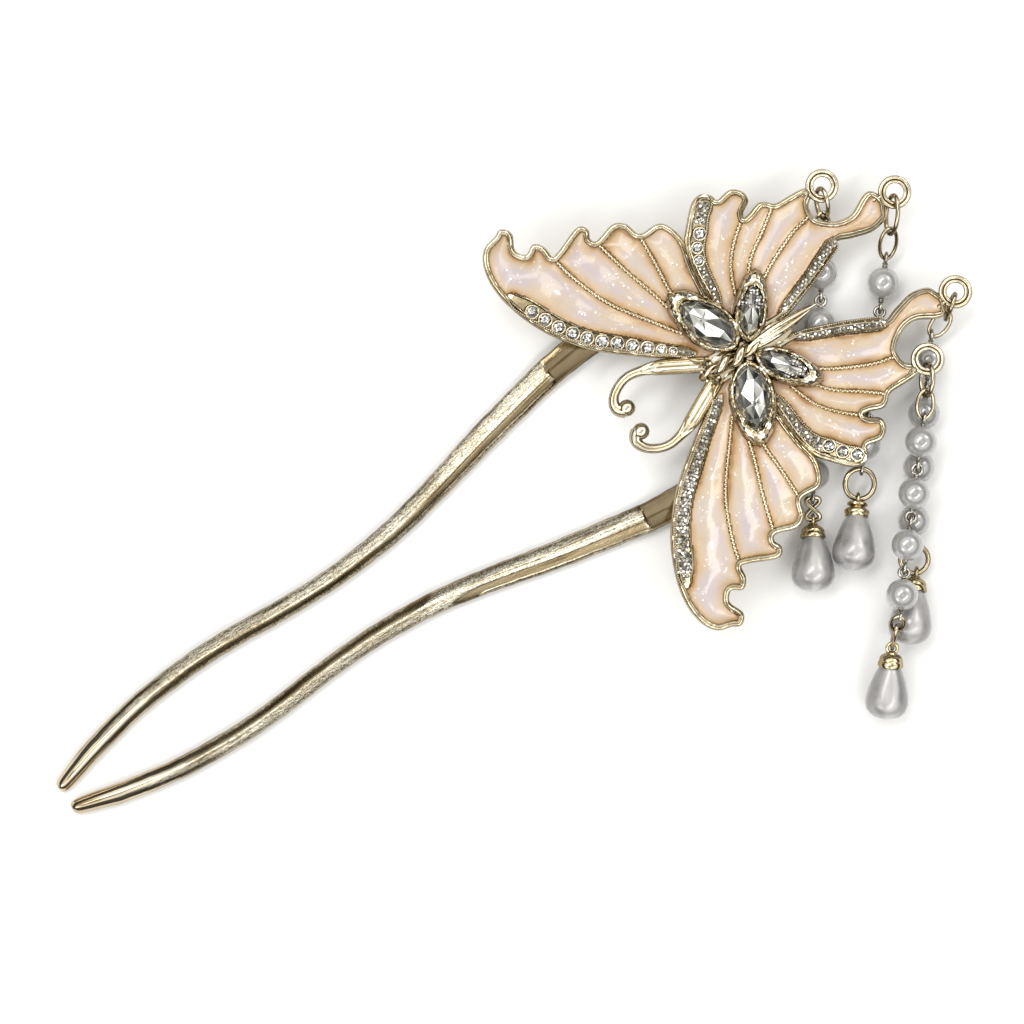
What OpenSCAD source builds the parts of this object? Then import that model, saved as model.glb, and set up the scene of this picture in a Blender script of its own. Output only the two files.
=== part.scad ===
// U-shaped hair fork with a butterfly head and four short strands of pearls.
// Millimetres. The prongs lie along X with their tips at -X, +Z is up, and the
// fork rests on z = 0. The origin is on the fork's axis, between the prongs,
// where the hair is gripped.

/* [Fork] */
// Distance from the grip point to the centre of the U bend
bend_x = 44.1; // [42:0.1:46]
// Radius of the U bend along the middle of the bar
bend_r = 13.4; // [13:0.1:14]
// Height of the bar along its ridge
bar_h = 2.5; // [2.2:0.1:2.7]
// Height of the flattened bar under the head
bar_flat_h = 2.0; // [1.8:0.1:2.1]
// Width of the flattened bar in the bend
bar_flat_w = 4.5; // [4.2:0.1:4.8]

/* [Wings] */
// Height of the wings' underside above the table at the body
wing_z = 4.9; // [4.8:0.1:5.3]
// Radius of the trough that the four wings follow
wing_r = 90; // [80:1:110]
// Height of the rims and veins above the wings' underside
rim_t = 1.4; // [1.2:0.1:1.6]
// Thickness of the floor under the enamel
floor_t = 0.7; // [0.6:0.05:0.8]
// Width of the rim around each wing
rim_w = 0.65; // [0.5:0.05:0.8]
// Width of a vein
vein_w = 0.7; // [0.5:0.05:0.8]
// Height of the enamel above the wings' underside
enamel_top = 1.15; // [1:0.05:1.2]

/* [Stones] */
// Diameter of a full-size rhinestone
stone_d = 1.9; // [1.7:0.05:1.95]
// Length of the large crystals
large_l = 9.2; // [8.8:0.1:9.4]
// Width of the large crystals
large_w = 5.2; // [4.8:0.1:5.4]
// Length of the small crystals
small_l = 7.2; // [6.8:0.1:7.4]
// Width of the small crystals
small_w = 3.4; // [3:0.1:3.5]

/* [Strands] */
// Diameter of a round pearl
pearl_d = 4.6; // [4.3:0.1:4.6]
// Length of a drop
drop_l = 9.2; // [8.6:0.1:9.4]
// Greatest diameter of a drop
drop_d = 6.3; // [6:0.1:6.4]
// Wire diameter of the eye pins
pin_d = 0.5; // [0.45:0.01:0.52]
// Wire diameter of the jump rings
ring_d = 0.55; // [0.5:0.01:0.58]

/* [Hidden] */
$fn = 48;
gap = 0.06;
turns = 4;

// Turn of the head against the fork, and the body centre's distance past the bend centre
head_turn = 2.2;
head_ahead = 12.9;

// Nodes
SIDES = ["a", "b"];
PEARLS = [5, 4, 4, 4];

// Fork, one row for each station of a prong from the tip to the bend
// columns: distance behind the bend centre, half the prongs' spacing, bar width
PRONG = [
    [102.3, 1.75, 1.5], [101.5, 1.9, 2.2], [98.5, 2.75, 2.7], [94.3, 3.9, 3.0], [86.7, 5.4, 3.0],
    [80.0, 6.0, 3.0], [74.6, 6.2, 3.0], [68.6, 6.0, 3.0], [62.4, 5.5, 3.0], [55.7, 5.2, 3.0],
    [49.7, 5.3, 3.1], [41.4, 6.1, 3.3], [32.9, 7.8, 3.6], [24.0, 9.9, 4.0], [15.7, 11.6, 4.2],
    [11.0, 12.5, 4.3], [10.0, 12.7, 4.3], [5.0, 13.2, 4.4]
];
tip_h = 1.5;
flat_from = 10.5;
// Sections of the bar, as shares of its width and height
RIDGED = [
    [-0.36, 0], [0.36, 0], [0.48, 0.14], [0.5, 0.4], [0.32, 0.68], [0.1, 0.95],
    [0, 1], [-0.1, 0.95], [-0.32, 0.68], [-0.5, 0.4], [-0.48, 0.14]
];
FLAT = [
    [-0.40, 0], [0.40, 0], [0.48, 0.12], [0.5, 0.5], [0.48, 0.88], [0.40, 1],
    [0, 1], [-0.40, 1], [-0.48, 0.88], [-0.5, 0.5], [-0.48, 0.12]
];

// Wing outlines of the left side, one point for each lobe, notch and turn
FOREWING = [
    [-4.3, 1.5], [-7.3, 4.2], [-11.4, 7.3], [-15.6, 10.6], [-18.3, 13.3], [-21.1, 17.0],
    [-22.9, 20.6], [-24.0, 24.1], [-24.3, 27.3], [-23.7, 30.0], [-22.4, 31.6], [-20.6, 32.1],
    [-19.3, 32.6], [-18.3, 31.4], [-19.1, 29.2], [-18.0, 27.8], [-16.4, 28.5], [-15.3, 27.4],
    [-15.0, 25.7], [-13.8, 25.8], [-9.9, 27.3], [-8.7, 26.4], [-9.1, 25.1], [-8.3, 24.3],
    [-5.3, 25.1], [-3.6, 24.2], [-2.6, 22.0], [0.3, 21.9], [1.6, 20.6], [2.2, 18.0],
    [1.5, 14.3], [1.2, 10], [1.2, 1.5]
];
HINDWING = [
    [1.0, 1.5], [1.2, 10], [1.4, 14.0], [2.2, 17.4], [4.1, 19.9], [6.1, 21.9], [7.7, 22.3],
    [8.9, 21.4], [9.4, 20.4], [11.6, 20.7], [13.0, 19.6], [13.1, 18.2], [11.7, 17.2],
    [11.3, 16.3], [12.4, 16.4], [14.1, 17.0], [15.2, 16.6], [16.3, 15.7], [18.7, 15.6],
    [20.5, 15.5], [21.5, 15.1], [21.4, 14.2], [20.2, 13.2], [20.0, 11.3], [21.0, 10.0],
    [22.9, 8.9], [25.0, 8.8], [27.3, 10.0], [28.6, 10.3], [29.4, 9.6], [29.8, 8.3],
    [29.4, 6.9], [28.6, 5.8], [26.3, 5.3], [23.3, 6.0], [21.3, 6.7], [20.4, 5.8],
    [18.6, 4.8], [15.7, 3.5], [12.9, 2.5], [10.0, 1.5], [7.4, 1.0]
];
// Veins, from the wing's edge to its root
VEINS_FORE = [
    [[-15.0, 26.2], [-14.0, 22.0], [-11.4, 16.0], [-7.3, 10.4], [-4.9, 7.3]],
    [[-8.7, 25.0], [-6.9, 18.6], [-5.3, 14.0], [-3.9, 9.0]],
    [[-2.7, 22.6], [-2.8, 17.0], [-3.0, 13.4], [-2.9, 9.0]]
];
VEINS_HIND = [
    [[11.6, 16.8], [8.6, 14.3], [6.6, 12.0], [5.6, 10.0], [4.8, 7.6]],
    [[16.2, 16.0], [12.9, 13.5], [10.1, 11.6], [8.3, 9.8], [7.0, 7.4]],
    [[20.4, 11.8], [17.1, 11.2], [14.3, 10.1], [11.4, 8.7], [9.3, 7.4], [7.6, 5.8]]
];
// Middle lines of the rhinestone rows
ROW_FORE = [[-21.4, 20.9], [-19.3, 17.0], [-16.4, 13.3], [-13.0, 10.4], [-9.6, 7.5], [-6.3, 4.9]];
ROW_OUTER = [[7.5, 21.1], [6.0, 19.7], [4.8, 18.0], [3.3, 16.2], [2.55, 14.2], [2.25, 12.2], [2.1, 10.0]];
ROW_INNER = [[20.0, 6.5], [18.2, 5.7], [15.6, 4.5], [13.0, 3.5], [10.4, 2.5]];
// Rows: line, stones at full size, stones in all, first diameter, last diameter
fore_row = [ROW_FORE, 9, 11, stone_d, 1.2];
outer_row = [ROW_OUTER, 3, 7, stone_d * 0.95, 1.1];
inner_row = [ROW_INNER, 3, 7, stone_d * 0.79, 1.1];
stone_gap = 0.3;
row_side = 0.45;
row_end = 1.25;

// Eyelets: ring, wire, height above the wing, centre of each
eyelet_ring_r = 1.78;
eyelet_wire_r = 0.42;
eyelet_rise = 0.75;
EYELETS = [[23.3, 14.6], [31.8, 8.4]];

// Crystals: middle point and direction of each
large_at = [-0.9, 6.3];
large_turn = 112;
small_at = [5.3, 4.6];
small_turn = 52;
setting_wall = 0.5;
setting_top = 3.0;
pocket_floor = 1.6;
leaf_sharp = 0.3;
leaf_skew = -0.1;

// Body, columns: x, y of the middle, half width, top
BODY = [
    [-5.7, 0, 0.4, 6.3], [-5.0, 0, 1.1, 7.1], [-3.8, 0, 1.5, 7.9], [-2.6, 0, 1.2, 7.6],
    [-1.2, 0, 1.2, 8.0], [0.6, 0, 1.5, 8.5], [2.3, 0, 1.1, 8.0], [3.4, 0.05, 0.8, 7.5],
    [5.2, 0.15, 1.0, 7.6], [8.0, 0.3, 1.15, 7.4], [11.0, 0.45, 1.0, 7.0], [13.0, 0.55, 0.6, 6.5],
    [13.9, 0.6, 0.2, 6.1]
];
body_bottom = 5.2;
// Antenna, columns: x, y, wire radius
ANTENNA = [
    [-3.6, 1.2, 0.8], [-7.1, 3.0, 0.75], [-10.0, 4.5, 0.7], [-12.1, 5.3, 0.65], [-14.3, 5.7, 0.6],
    [-16.1, 5.3, 0.6], [-17.6, 4.3, 0.62], [-18.3, 3.0, 0.65], [-18.0, 1.9, 0.7],
    [-17.1, 1.5, 0.8], [-16.5, 2.2, 0.8], [-16.6, 3.1, 0.6]
];
antenna_z = 6.0;

// Seat, an arc on the bend, and its two rivets
seat_half_angle = 24;
seat_w = 3.4;
rivet_angle = 15;
rivet_r = 0.8;
rivet_bore_r = 0.9;
rivet_foot_z = 0.3;

// Strands. A joint is the point where two loops pass through each other.
// Columns: first joint, heading, pitch, joint heights
lying = pearl_d / 2;
STRANDS = [
    [[19.3, 6.9], 236.3, 7.25, [for (k = [0:5]) lying]],
    [[26.5, 1.2], 232.1, 7.8, [for (k = [0:4]) lying]],
    [[26.3, -11.7], 233.2, 7.76, [for (k = [0:4]) lying]],
    [[18.8, -21.2], 231.1, 7.43, [5.7, 5.7, 5.7, 5.9, 8.6]]
];
// First links, columns: eyelet, heading, reach, fall, roll
FIRST_LINKS = [
    [[23.3, 14.6], 242.5, 4.1, 0.5, 65],
    [[31.8, 8.4], 233.6, 5.5, 0.22, 65],
    [[31.8, -8.4], 221.3, 3.2, 0.8, 90],
    [[23.3, -14.6], 235.7, 4.7, 0.06, 65]
];
// Joints between the last pin and the drop, the last of them at the drop's cap
TAILS = [
    [[-2.05, -25.4, 1.9]],
    [[5.1, -26.2, 1.9]],
    [[6.7, -39.7, 1.9]],
    [[-0.6, -44.9, 7.15], [-2.1, -46.9, 4.5]]
];
DROP_HEADINGS = [238, 233.2, 230.8, 234.1];
CAP_HEIGHTS = [2.2, 2.2, 2.2, 4.3];
eye_r = 0.72;
slack = 0.16;
first_link_w = 1.6;
second_link_w = 1.2;
second_link_d = 0.45;
end_link_w = [1.0, 2.1, 2.0, 0.95];
bead_bore_r = 0.4;
cap_loop_r = 0.75;
cap_loop_wire_r = 0.25;
cap_half = 1.1;
cap_neck = 0.45;
belly_at = 5.3;

module on_head() {
    translate([bend_x, 0, 0]) rotate([0, 0, -head_turn]) translate([head_ahead, 0, 0]) children();
}

// side 0 is the left wing pair, side 1 its mirror image
module on_side(side) {
    mirror([0, side, 0]) children();
}

function spline_point(a, b, c, d, t) =
    0.5 * (2 * b + (c - a) * t + (2 * a - 5 * b + 4 * c - d) * t * t + (3 * b - a - 3 * c + d) * t * t * t);
function smooth_open(p, n = turns) = let (last = len(p) - 1)
    concat([for (i = [0:last - 1]) for (k = [0:n - 1])
        spline_point(p[max(i - 1, 0)], p[i], p[i + 1], p[min(i + 2, last)], k / n)], [p[last]]);
function smooth_closed(p, n = turns) = let (m = len(p))
    [for (i = [0:m - 1]) for (k = [0:n - 1])
        spline_point(p[(i + m - 1) % m], p[i], p[(i + 1) % m], p[(i + 2) % m], k / n)];

function unit(v) = v / norm(v);
function along(p, i) = unit(p[min(i + 1, len(p) - 1)] - p[max(i - 1, 0)]);
function left_of(t) = [-t[1], t[0]];
// Outline of a band of width w0 at its start and w1 at its end
function stroke(p, w0, w1) = let (n = len(p) - 1)
    concat([for (i = [0:n]) p[i] + left_of(along(p, i)) * (w0 + (w1 - w0) * i / n) / 2],
           [for (i = [n:-1:0]) p[i] - left_of(along(p, i)) * (w0 + (w1 - w0) * i / n) / 2]);
function point_at(p, s, i = 0) = i >= len(p) - 1 ? p[i] :
    let (d = norm(p[i + 1] - p[i])) s <= d ? p[i] + (p[i + 1] - p[i]) * s / d : point_at(p, s - d, i + 1);

// Solid through a list of closed sections with the same number of points
module loft(sections) {
    n = len(sections[0]);
    m = len(sections);
    polyhedron(
        points = [for (s = sections) for (p = s) p],
        faces = concat(
            [[for (k = [0:n - 1]) k]],
            [[for (k = [n - 1:-1:0]) (m - 1) * n + k]],
            [for (i = [0:m - 2]) for (k = [0:n - 1]) [i * n + k, (i + 1) * n + k, i * n + (k + 1) % n]],
            [for (i = [0:m - 2]) for (k = [0:n - 1])
                [i * n + (k + 1) % n, (i + 1) * n + k, (i + 1) * n + (k + 1) % n]]
        ));
}

// Round bar along X whose lower side is the trough that the wings follow
module trough(r) {
    translate([-r / 2, 0, wing_z + wing_r]) rotate([0, 90, 0]) cylinder(r = r, h = r, $fn = 360);
}

// Space between the heights lo and hi above the wings' underside
module wing_layer(lo, hi) {
    difference() {
        intersection() {
            translate([0, 0, wing_z - 1]) linear_extrude(12) children();
            trough(wing_r - lo);
        }
        trough(wing_r - hi);
    }
}

// Moves to a point of the wings' underside and leans with it
module on_wing(at) {
    lean = asin(at[1] / wing_r);
    translate([at[0], at[1], wing_z + wing_r * (1 - cos(lean))]) rotate([lean, 0, 0]) children();
}

function leaf(l, w, n = 32) = [for (i = [0:n - 1]) let (t = 360 * i / n)
    [l / 2 * cos(t), w / 2 * sin(t) * pow(abs(sin(t)), leaf_sharp) * (1 + leaf_skew * cos(t))]];

// Rhinestone rows
function row_d(row, i) = i < row[1] ? row[3] :
    row[3] + (row[4] - row[3]) * (i - row[1] + 1) / (row[2] - row[1]);
function row_s(row, i) = i == 0 ? 0 :
    row_s(row, i - 1) + (row_d(row, i - 1) + row_d(row, i)) / 2 + stone_gap;
function row_at(row, i) = point_at(smooth_open(row[0]), row_s(row, i));
// A line made longer at both ends
function run_on(p, by) = let (n = len(p) - 1)
    concat([p[0] + unit(p[0] - p[1]) * by], p, [p[n] + unit(p[n] - p[n - 1]) * by]);

module wing_outlines() {
    polygon(smooth_closed(FOREWING));
    polygon(smooth_closed(HINDWING));
}

module setting_shape(at, turn, l, w) {
    translate(at) rotate(turn) polygon(leaf(l + 2 * setting_wall, w + 2 * setting_wall));
}

module settings_shape() {
    setting_shape(large_at, large_turn, large_l, large_w);
    setting_shape(small_at, small_turn, small_l, small_w);
}

// What stays metal between the enamel cells
module webs(inset) {
    offset(delta = 0.2 + inset) settings_shape();
    translate([-6, -2.4 - inset]) square([21, 4.8 + 2 * inset]);
    for (e = EYELETS) translate(e) circle(r = eyelet_ring_r + eyelet_wire_r + 0.1 + inset);
}

// Metal strip along a line, run on at both ends, of width w0 at its start and w1 at its end
module strip(line, by, w0, w1, inset) {
    polygon(stroke(smooth_open(run_on(line, by + inset)), w0 + 2 * inset, w1 + 2 * inset));
}

module forewing_cells(inset) {
    difference() {
        offset(delta = -rim_w - inset) polygon(smooth_closed(FOREWING));
        for (v = VEINS_FORE) strip(v, 0.8, vein_w, vein_w, inset);
        strip(ROW_FORE, row_end, stone_d + 2 * row_side, 1.6, inset);
        strip([for (a = ANTENNA) [a[0], a[1]]], 0, 2.4, 0.2, inset);
        webs(inset);
    }
}

module hindwing_cells(inset) {
    difference() {
        offset(delta = -rim_w - inset) polygon(smooth_closed(HINDWING));
        for (v = VEINS_HIND) strip(v, 0.3, vein_w, vein_w, inset);
        strip(ROW_OUTER, row_end, stone_d + 2 * row_side, 1.9, inset);
        strip(ROW_INNER, row_end, 2.2, 1.6, inset);
        webs(inset);
    }
}

module stone_seats() {
    for (row = [fore_row, outer_row, inner_row]) for (i = [0:row[2] - 1])
        on_wing(row_at(row, i)) translate([0, 0, floor_t])
            cylinder(d = row_d(row, i) + 2 * gap, h = 2, $fn = 24);
}

module both_sides() {
    children();
    mirror([0, 1, 0]) children();
}

module setting(at, turn, l, w) {
    on_wing(at) rotate([0, 0, turn]) difference() {
        translate([0, 0, 0.2]) linear_extrude(setting_top - 0.2)
            polygon(leaf(l + 2 * setting_wall, w + 2 * setting_wall));
        translate([0, 0, pocket_floor]) linear_extrude(3) polygon(leaf(l + 2 * gap, w + 2 * gap));
    }
}

function round_section(c, s, r, n) = [for (k = [0:n - 1]) let (a = 360 * k / n)
    c + s * (r * cos(a)) + [0, 0, r * sin(a)]];

module antenna() {
    p = smooth_open(ANTENNA, 2);
    axis = [for (q = p) [q[0], q[1]]];
    loft([for (i = [0:len(p) - 1]) let (s = left_of(along(axis, i)))
        round_section([p[i][0], p[i][1], antenna_z], [s[0], s[1], 0], p[i][2], 8)]);
}

module insect_body() {
    n = 10;
    loft([for (b = BODY) let (mid = (b[3] + body_bottom) / 2, half = (b[3] - body_bottom) / 2)
        [for (k = [0:n - 1]) [b[0], b[1] + b[2] * cos(360 * k / n), mid + half * sin(360 * k / n)]]]);
}

module bar_arc(w, half_angle) {
    rotate([0, 0, -half_angle]) rotate_extrude(angle = 2 * half_angle, $fn = 96)
        translate([bend_r - w / 2, 0]) square([w, wing_z + 0.5 - bar_flat_h]);
}

module seat() {
    translate([-head_ahead, 0, 0]) rotate([0, 0, head_turn]) {
        translate([0, 0, bar_flat_h]) bar_arc(seat_w, seat_half_angle);
        for (a = [-rivet_angle, rivet_angle]) rotate([0, 0, a])
            translate([bend_r, 0, rivet_foot_z]) cylinder(r = rivet_r, h = bar_flat_h);
    }
}

module fork() {
    color("burlywood") difference() {
        fork_bar();
        for (a = [-rivet_angle, rivet_angle])
            translate([bend_x, 0, 0]) rotate([0, 0, a]) translate([bend_r, 0, -1])
                cylinder(r = rivet_bore_r, h = 5);
    }
}

module fork_bar() {
    prong = smooth_open(PRONG, 3);
    bend = [for (a = [75:-15:-75]) [bend_x + bend_r * cos(a), bend_r * sin(a), bar_flat_w]];
    path = concat(
        [for (p = prong) [bend_x - p[0], p[1], p[2]]],
        [[bend_x, bend_r, bar_flat_w]], bend, [[bend_x, -bend_r, bar_flat_w]],
        [for (i = [len(prong) - 1:-1:0]) [bend_x - prong[i][0], -prong[i][1], prong[i][2]]]);
    axis = [for (p = path) [p[0], p[1]]];
    loft([for (i = [0:len(path) - 1]) bar_section(axis[i], left_of(along(axis, i)), path[i][2])]);
}

function bar_section(at, side, w) = let (
    back = bend_x - at[0],
    flat = back < flat_from - 0.5 ? 1 : back > flat_from ? 0 : (flat_from - back) / 0.5,
    from_tip = PRONG[0][0] - back,
    h = from_tip < 6 ? tip_h + (bar_h - tip_h) * sqrt(1 - pow(1 - from_tip / 6, 2)) : bar_h,
    top = h + (bar_flat_h - h) * flat)
    [for (k = [0:len(RIDGED) - 1]) let (q = RIDGED[k] + (FLAT[k] - RIDGED[k]) * flat)
        [at[0] + side[0] * w * q[0], at[1] + side[1] * w * q[0], top * q[1]]];

module butterfly_frame() {
    color("goldenrod") on_head() {
        difference() {
            union() {
                difference() {
                    wing_layer(0, rim_t) union() {
                        both_sides() wing_outlines();
                        translate([-4.5, -2]) square([13, 4]);
                    }
                    wing_layer(floor_t, rim_t + 1) both_sides() {
                        forewing_cells(0);
                        hindwing_cells(0);
                    }
                    both_sides() stone_seats();
                }
                both_sides() {
                    setting(large_at, large_turn, large_l, large_w);
                    setting(small_at, small_turn, small_l, small_w);
                    antenna();
                }
                insect_body();
                seat();
                both_sides() for (e = EYELETS) on_wing(e) translate([0, 0, eyelet_rise])
                    torus(eyelet_ring_r, eyelet_wire_r);
            }
            both_sides() for (e = EYELETS) translate([e[0], e[1], 2])
                cylinder(r = eyelet_ring_r - eyelet_wire_r, h = 9);
        }
    }
}

module torus(ring_r, wire_r) {
    rotate_extrude() translate([ring_r, 0]) circle(r = wire_r, $fn = 24);
}

module enamel(side, fore) {
    color(fore ? "mistyrose" : "peachpuff") on_head() on_side(side) wing_layer(floor_t + gap, enamel_top) {
        if (fore) forewing_cells(gap);
        else hindwing_cells(gap);
    }
}

// A round stone with eight sides: columns of its levels are share of the diameter, height
BRILLIANT = [[0.4, 0], [0.96, 0.24], [0.96, 0.32], [0.56, 0.5]];
module rhinestone(d) {
    loft([for (c = BRILLIANT) [for (k = [0:7]) d * [c[0] / 2 * cos(45 * k), c[0] / 2 * sin(45 * k), c[1]]]]);
}

module stones(side, rows) {
    color("whitesmoke") on_head() on_side(side) for (row = rows) for (i = [0:row[2] - 1])
        on_wing(row_at(row, i)) translate([0, 0, floor_t + gap]) rhinestone(row_d(row, i));
}

// A leaf-shaped stone: levels of its outline, columns: share of the plan, height
CUT = [[0.6, 0], [1, 0.9], [1, 1.1], [0.8, 1.8], [0.5, 2.3]];
module crystal(side, at, turn, l, w) {
    color("slategray") on_head() on_side(side) on_wing(at) translate([0, 0, pocket_floor + gap])
        rotate([0, 0, turn])
            loft([for (c = CUT) [for (p = leaf(l, w, 12)) [p[0] * c[0], p[1] * c[0], c[1]]]]);
}

// Joint k of strand i
function joint(i, k) = let (st = STRANDS[i], z = st[3], h = [cos(st[1]), sin(st[1])])
    k == 0 ? [st[0][0], st[0][1], z[0]] :
    let (a = joint(i, k - 1), rise = z[k] - z[k - 1], run = sqrt(st[2] * st[2] - rise * rise))
    [a[0] + h[0] * run, a[1] + h[1] * run, z[k]];

// Places children with their X axis from a to b and their origin at a
module from_to(a, b) {
    d = b - a;
    flat = norm([d[0], d[1]]);
    translate(a) rotate([0, -atan2(d[2], flat), atan2(d[1], d[0])]) children();
}

// Closed wire loop in the XY plane
module wire_loop(half_l, half_w, wire_r) {
    n = 16;
    m = 6;
    points = [for (i = [0:n - 1]) let (t = 360 * i / n, out = unit([half_w * cos(t), half_l * sin(t)]))
        for (k = [0:m - 1]) [half_l * cos(t) + out[0] * wire_r * cos(60 * k),
            half_w * sin(t) + out[1] * wire_r * cos(60 * k), wire_r * sin(60 * k)]];
    faces = [for (i = [0:n - 1]) for (k = [0:m - 1])
        let (a = i * m, b = (i + 1) % n * m, l = (k + 1) % m)
        for (f = [[a + k, a + l, b + k], [a + l, b + l, b + k]]) f];
    polyhedron(points = points, faces = faces);
}

// End of a link's middle line that comes from a and holds at the joint b
function hold(a, b) = b + unit(b - a) * (ring_d / 2 + slack);
// Where a link's end lies in the eye at the joint a of a pin that goes to b
eye_in = eye_r - slack - pin_d / 2;
function in_eye(a, b) = a + unit(b - a) * (eye_in + 0.06);

// Link whose middle line ends at p and q
module oval_link(p, q, half_w, roll, wire_d = ring_d) {
    reach = norm(q - p) / 2;
    from_to(p, q) translate([reach, 0, 0]) rotate([roll, 0, 0]) wire_loop(reach, half_w, wire_d / 2);
}

module eye_pin(a, b, roll_a, roll_b) {
    l = norm(b - a);
    stem_from = eye_in + eye_r;
    from_to(a, b) {
        translate([eye_in, 0, 0]) rotate([roll_a, 0, 0]) torus(eye_r, pin_d / 2);
        translate([l - eye_in, 0, 0]) rotate([roll_b, 0, 0]) torus(eye_r, pin_d / 2);
        translate([stem_from, 0, 0]) rotate([0, 90, 0]) cylinder(d = pin_d - 0.04, h = l - 2 * stem_from);
    }
}

module links(i) {
    link = FIRST_LINKS[i];
    count = PEARLS[i];
    first = joint(i, 0);
    last = joint(i, count);
    at = link[0];
    eye_z = wing_z + wing_r * (1 - cos(asin(abs(at[1]) / wing_r))) + eyelet_rise;
    way = [cos(link[1]), sin(link[1])];
    near = 0.55 + ring_d / 2 + slack;
    start = [at[0] + way[0] * near, at[1] + way[1] * near, eye_z + 0.1 + 0.3 * link[3]];
    middle = [at[0] + way[0] * link[2], at[1] + way[1] * link[2], eye_z - link[3] * link[2]];
    tail = concat([last], TAILS[i]);
    color("lightgoldenrodyellow") on_head() {
        oval_link(hold(middle, start), hold(start, middle), first_link_w, link[4]);
        oval_link(hold(first, middle), in_eye(first, joint(i, 1)), second_link_w, -10, second_link_d);
        for (k = [0:count - 1]) {
            roll = k % 2 == 0 ? 90 : 0;
            eye_pin(joint(i, k), joint(i, k + 1), roll, k == count - 1 ? 90 : roll);
        }
        for (k = [1:len(tail) - 1]) oval_link(
            k == 1 ? in_eye(last, joint(i, count - 1)) : hold(tail[k], tail[k - 1]),
            hold(tail[k - 1], tail[k]), end_link_w[i], k == 1 ? 0 : 90);
    }
}

module pearl(i, k) {
    a = joint(i, k);
    b = joint(i, k + 1);
    color("gainsboro") on_head() from_to(a, b) translate([norm(b - a) / 2, 0, 0]) rotate([0, 90, 0])
        rotate_extrude() difference() {
            circle(d = pearl_d, $fn = 64);
            translate([-pearl_d, -pearl_d]) square([pearl_d + bead_bore_r, 2 * pearl_d]);
        }
}

// Lies a drop or its cap down: origin in the middle of the cap, X towards the drop's round end
module on_cap(i) {
    k = TAILS[i][len(TAILS[i]) - 1];
    cap_z = CAP_HEIGHTS[i];
    rise = asin((drop_d / 2 + 0.03 - cap_z) / belly_at);
    back = cap_half + cap_neck + cap_loop_r - cap_loop_wire_r - slack / 2;
    on_head() translate([k[0], k[1], cap_z - back * sin(rise)]) rotate([0, 0, DROP_HEADINGS[i]])
        rotate([0, -rise, 0]) translate([back, 0, 0]) children();
}

// Profiles of the cap and the drop, columns: radius, distance from the cap's middle
CAP = [
    [0, -1.1], [0.8, -1.1], [1.45, -0.6], [1.75, 0.2], [1.85, 1.1],
    [1.5, 1.1], [1.42, 0.3], [1.1, -0.4], [0, -0.6]
];
DROP = [
    [0.9, -0.35], [1.2, 0.1], [1.36, 0.7], [1.44, 1.15], [1.9, 1.7], [2.4, 2.6], [2.85, 3.8],
    [3.13, 5.0], [3.1, 6.0], [2.75, 7.1], [2.1, 8.0], [1.2, 8.55], [0.45, 8.75]
];

module cap(i) {
    color("gold") on_cap(i) {
        rotate([0, 90, 0]) {
            rotate_extrude() polygon(CAP);
            translate([0, 0, -0.8]) cylinder(r = 0.35, h = 2.6);
        }
        translate([-cap_half - cap_neck, 0, 0]) rotate([i == 3 ? 0 : 90, 0, 0])
            torus(cap_loop_r, cap_loop_wire_r);
    }
}

module drop(i) {
    scale_r = drop_d / 6.3;
    scale_l = drop_l / 9.2;
    profile = [for (p = DROP) p[1] > 1.2 ? [p[0] * scale_r, p[1] * scale_l] : p];
    color("thistle") on_cap(i) rotate([0, 90, 0]) difference() {
        rotate_extrude() polygon(concat(
            [[0, DROP[0][1]]], smooth_open(profile, 2), [[0, profile[len(DROP) - 1][1]]]));
        translate([0, 0, -1]) cylinder(r = 0.45, h = 3.2);
    }
}

fork();
butterfly_frame();
for (side = [0, 1]) {
    enamel(side, true);
    enamel(side, false);
    stones(side, [fore_row]);
    stones(side, [outer_row, inner_row]);
    crystal(side, large_at, large_turn, large_l, large_w);
    crystal(side, small_at, small_turn, small_l, small_w);
}
for (i = [0:3]) {
    links(i);
    cap(i);
    drop(i);
    for (k = [0:PEARLS[i] - 1]) {
        pearl(i, k);
    }
}
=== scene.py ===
"""Looks of the hair fork with the butterfly head and the four pearl strands.

Shapes are worked out in millimetres: the fork's in the part's own frame, the
butterfly's and the strands' in the head's frame, which is placed on the fork.
"""

import math
from collections import namedtuple

import bmesh
import bpy
import numpy as np
from mathutils import Matrix, Vector


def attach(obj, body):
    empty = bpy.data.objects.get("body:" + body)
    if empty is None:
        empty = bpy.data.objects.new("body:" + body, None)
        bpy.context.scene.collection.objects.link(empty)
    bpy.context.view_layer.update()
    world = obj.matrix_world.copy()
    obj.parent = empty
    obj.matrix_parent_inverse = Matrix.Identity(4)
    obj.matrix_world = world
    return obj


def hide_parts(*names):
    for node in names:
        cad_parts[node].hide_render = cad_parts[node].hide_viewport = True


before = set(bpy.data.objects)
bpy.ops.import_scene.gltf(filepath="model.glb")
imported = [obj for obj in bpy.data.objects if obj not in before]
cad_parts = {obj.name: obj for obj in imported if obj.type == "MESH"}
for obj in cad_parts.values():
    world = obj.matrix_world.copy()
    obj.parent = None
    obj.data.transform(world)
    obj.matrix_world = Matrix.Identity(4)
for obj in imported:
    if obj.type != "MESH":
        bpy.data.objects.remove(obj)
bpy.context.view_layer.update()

MM = 0.001
MIRROR = np.array([1, -1, 1])
# Order of the coordinates that lays a ring about Z round X instead
ABOUT_X = [2, 0, 1]
# The fork's bend, and the head's turn and its distance ahead of the bend's centre
BEND_X = 44.1
BEND_R = 13.4
HEAD_TURN = 2.2
HEAD_AHEAD = 12.9
# The wings' underside in the middle, and the radius of its hollow
WING_Z = 4.9
WING_R = 90.0
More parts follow.
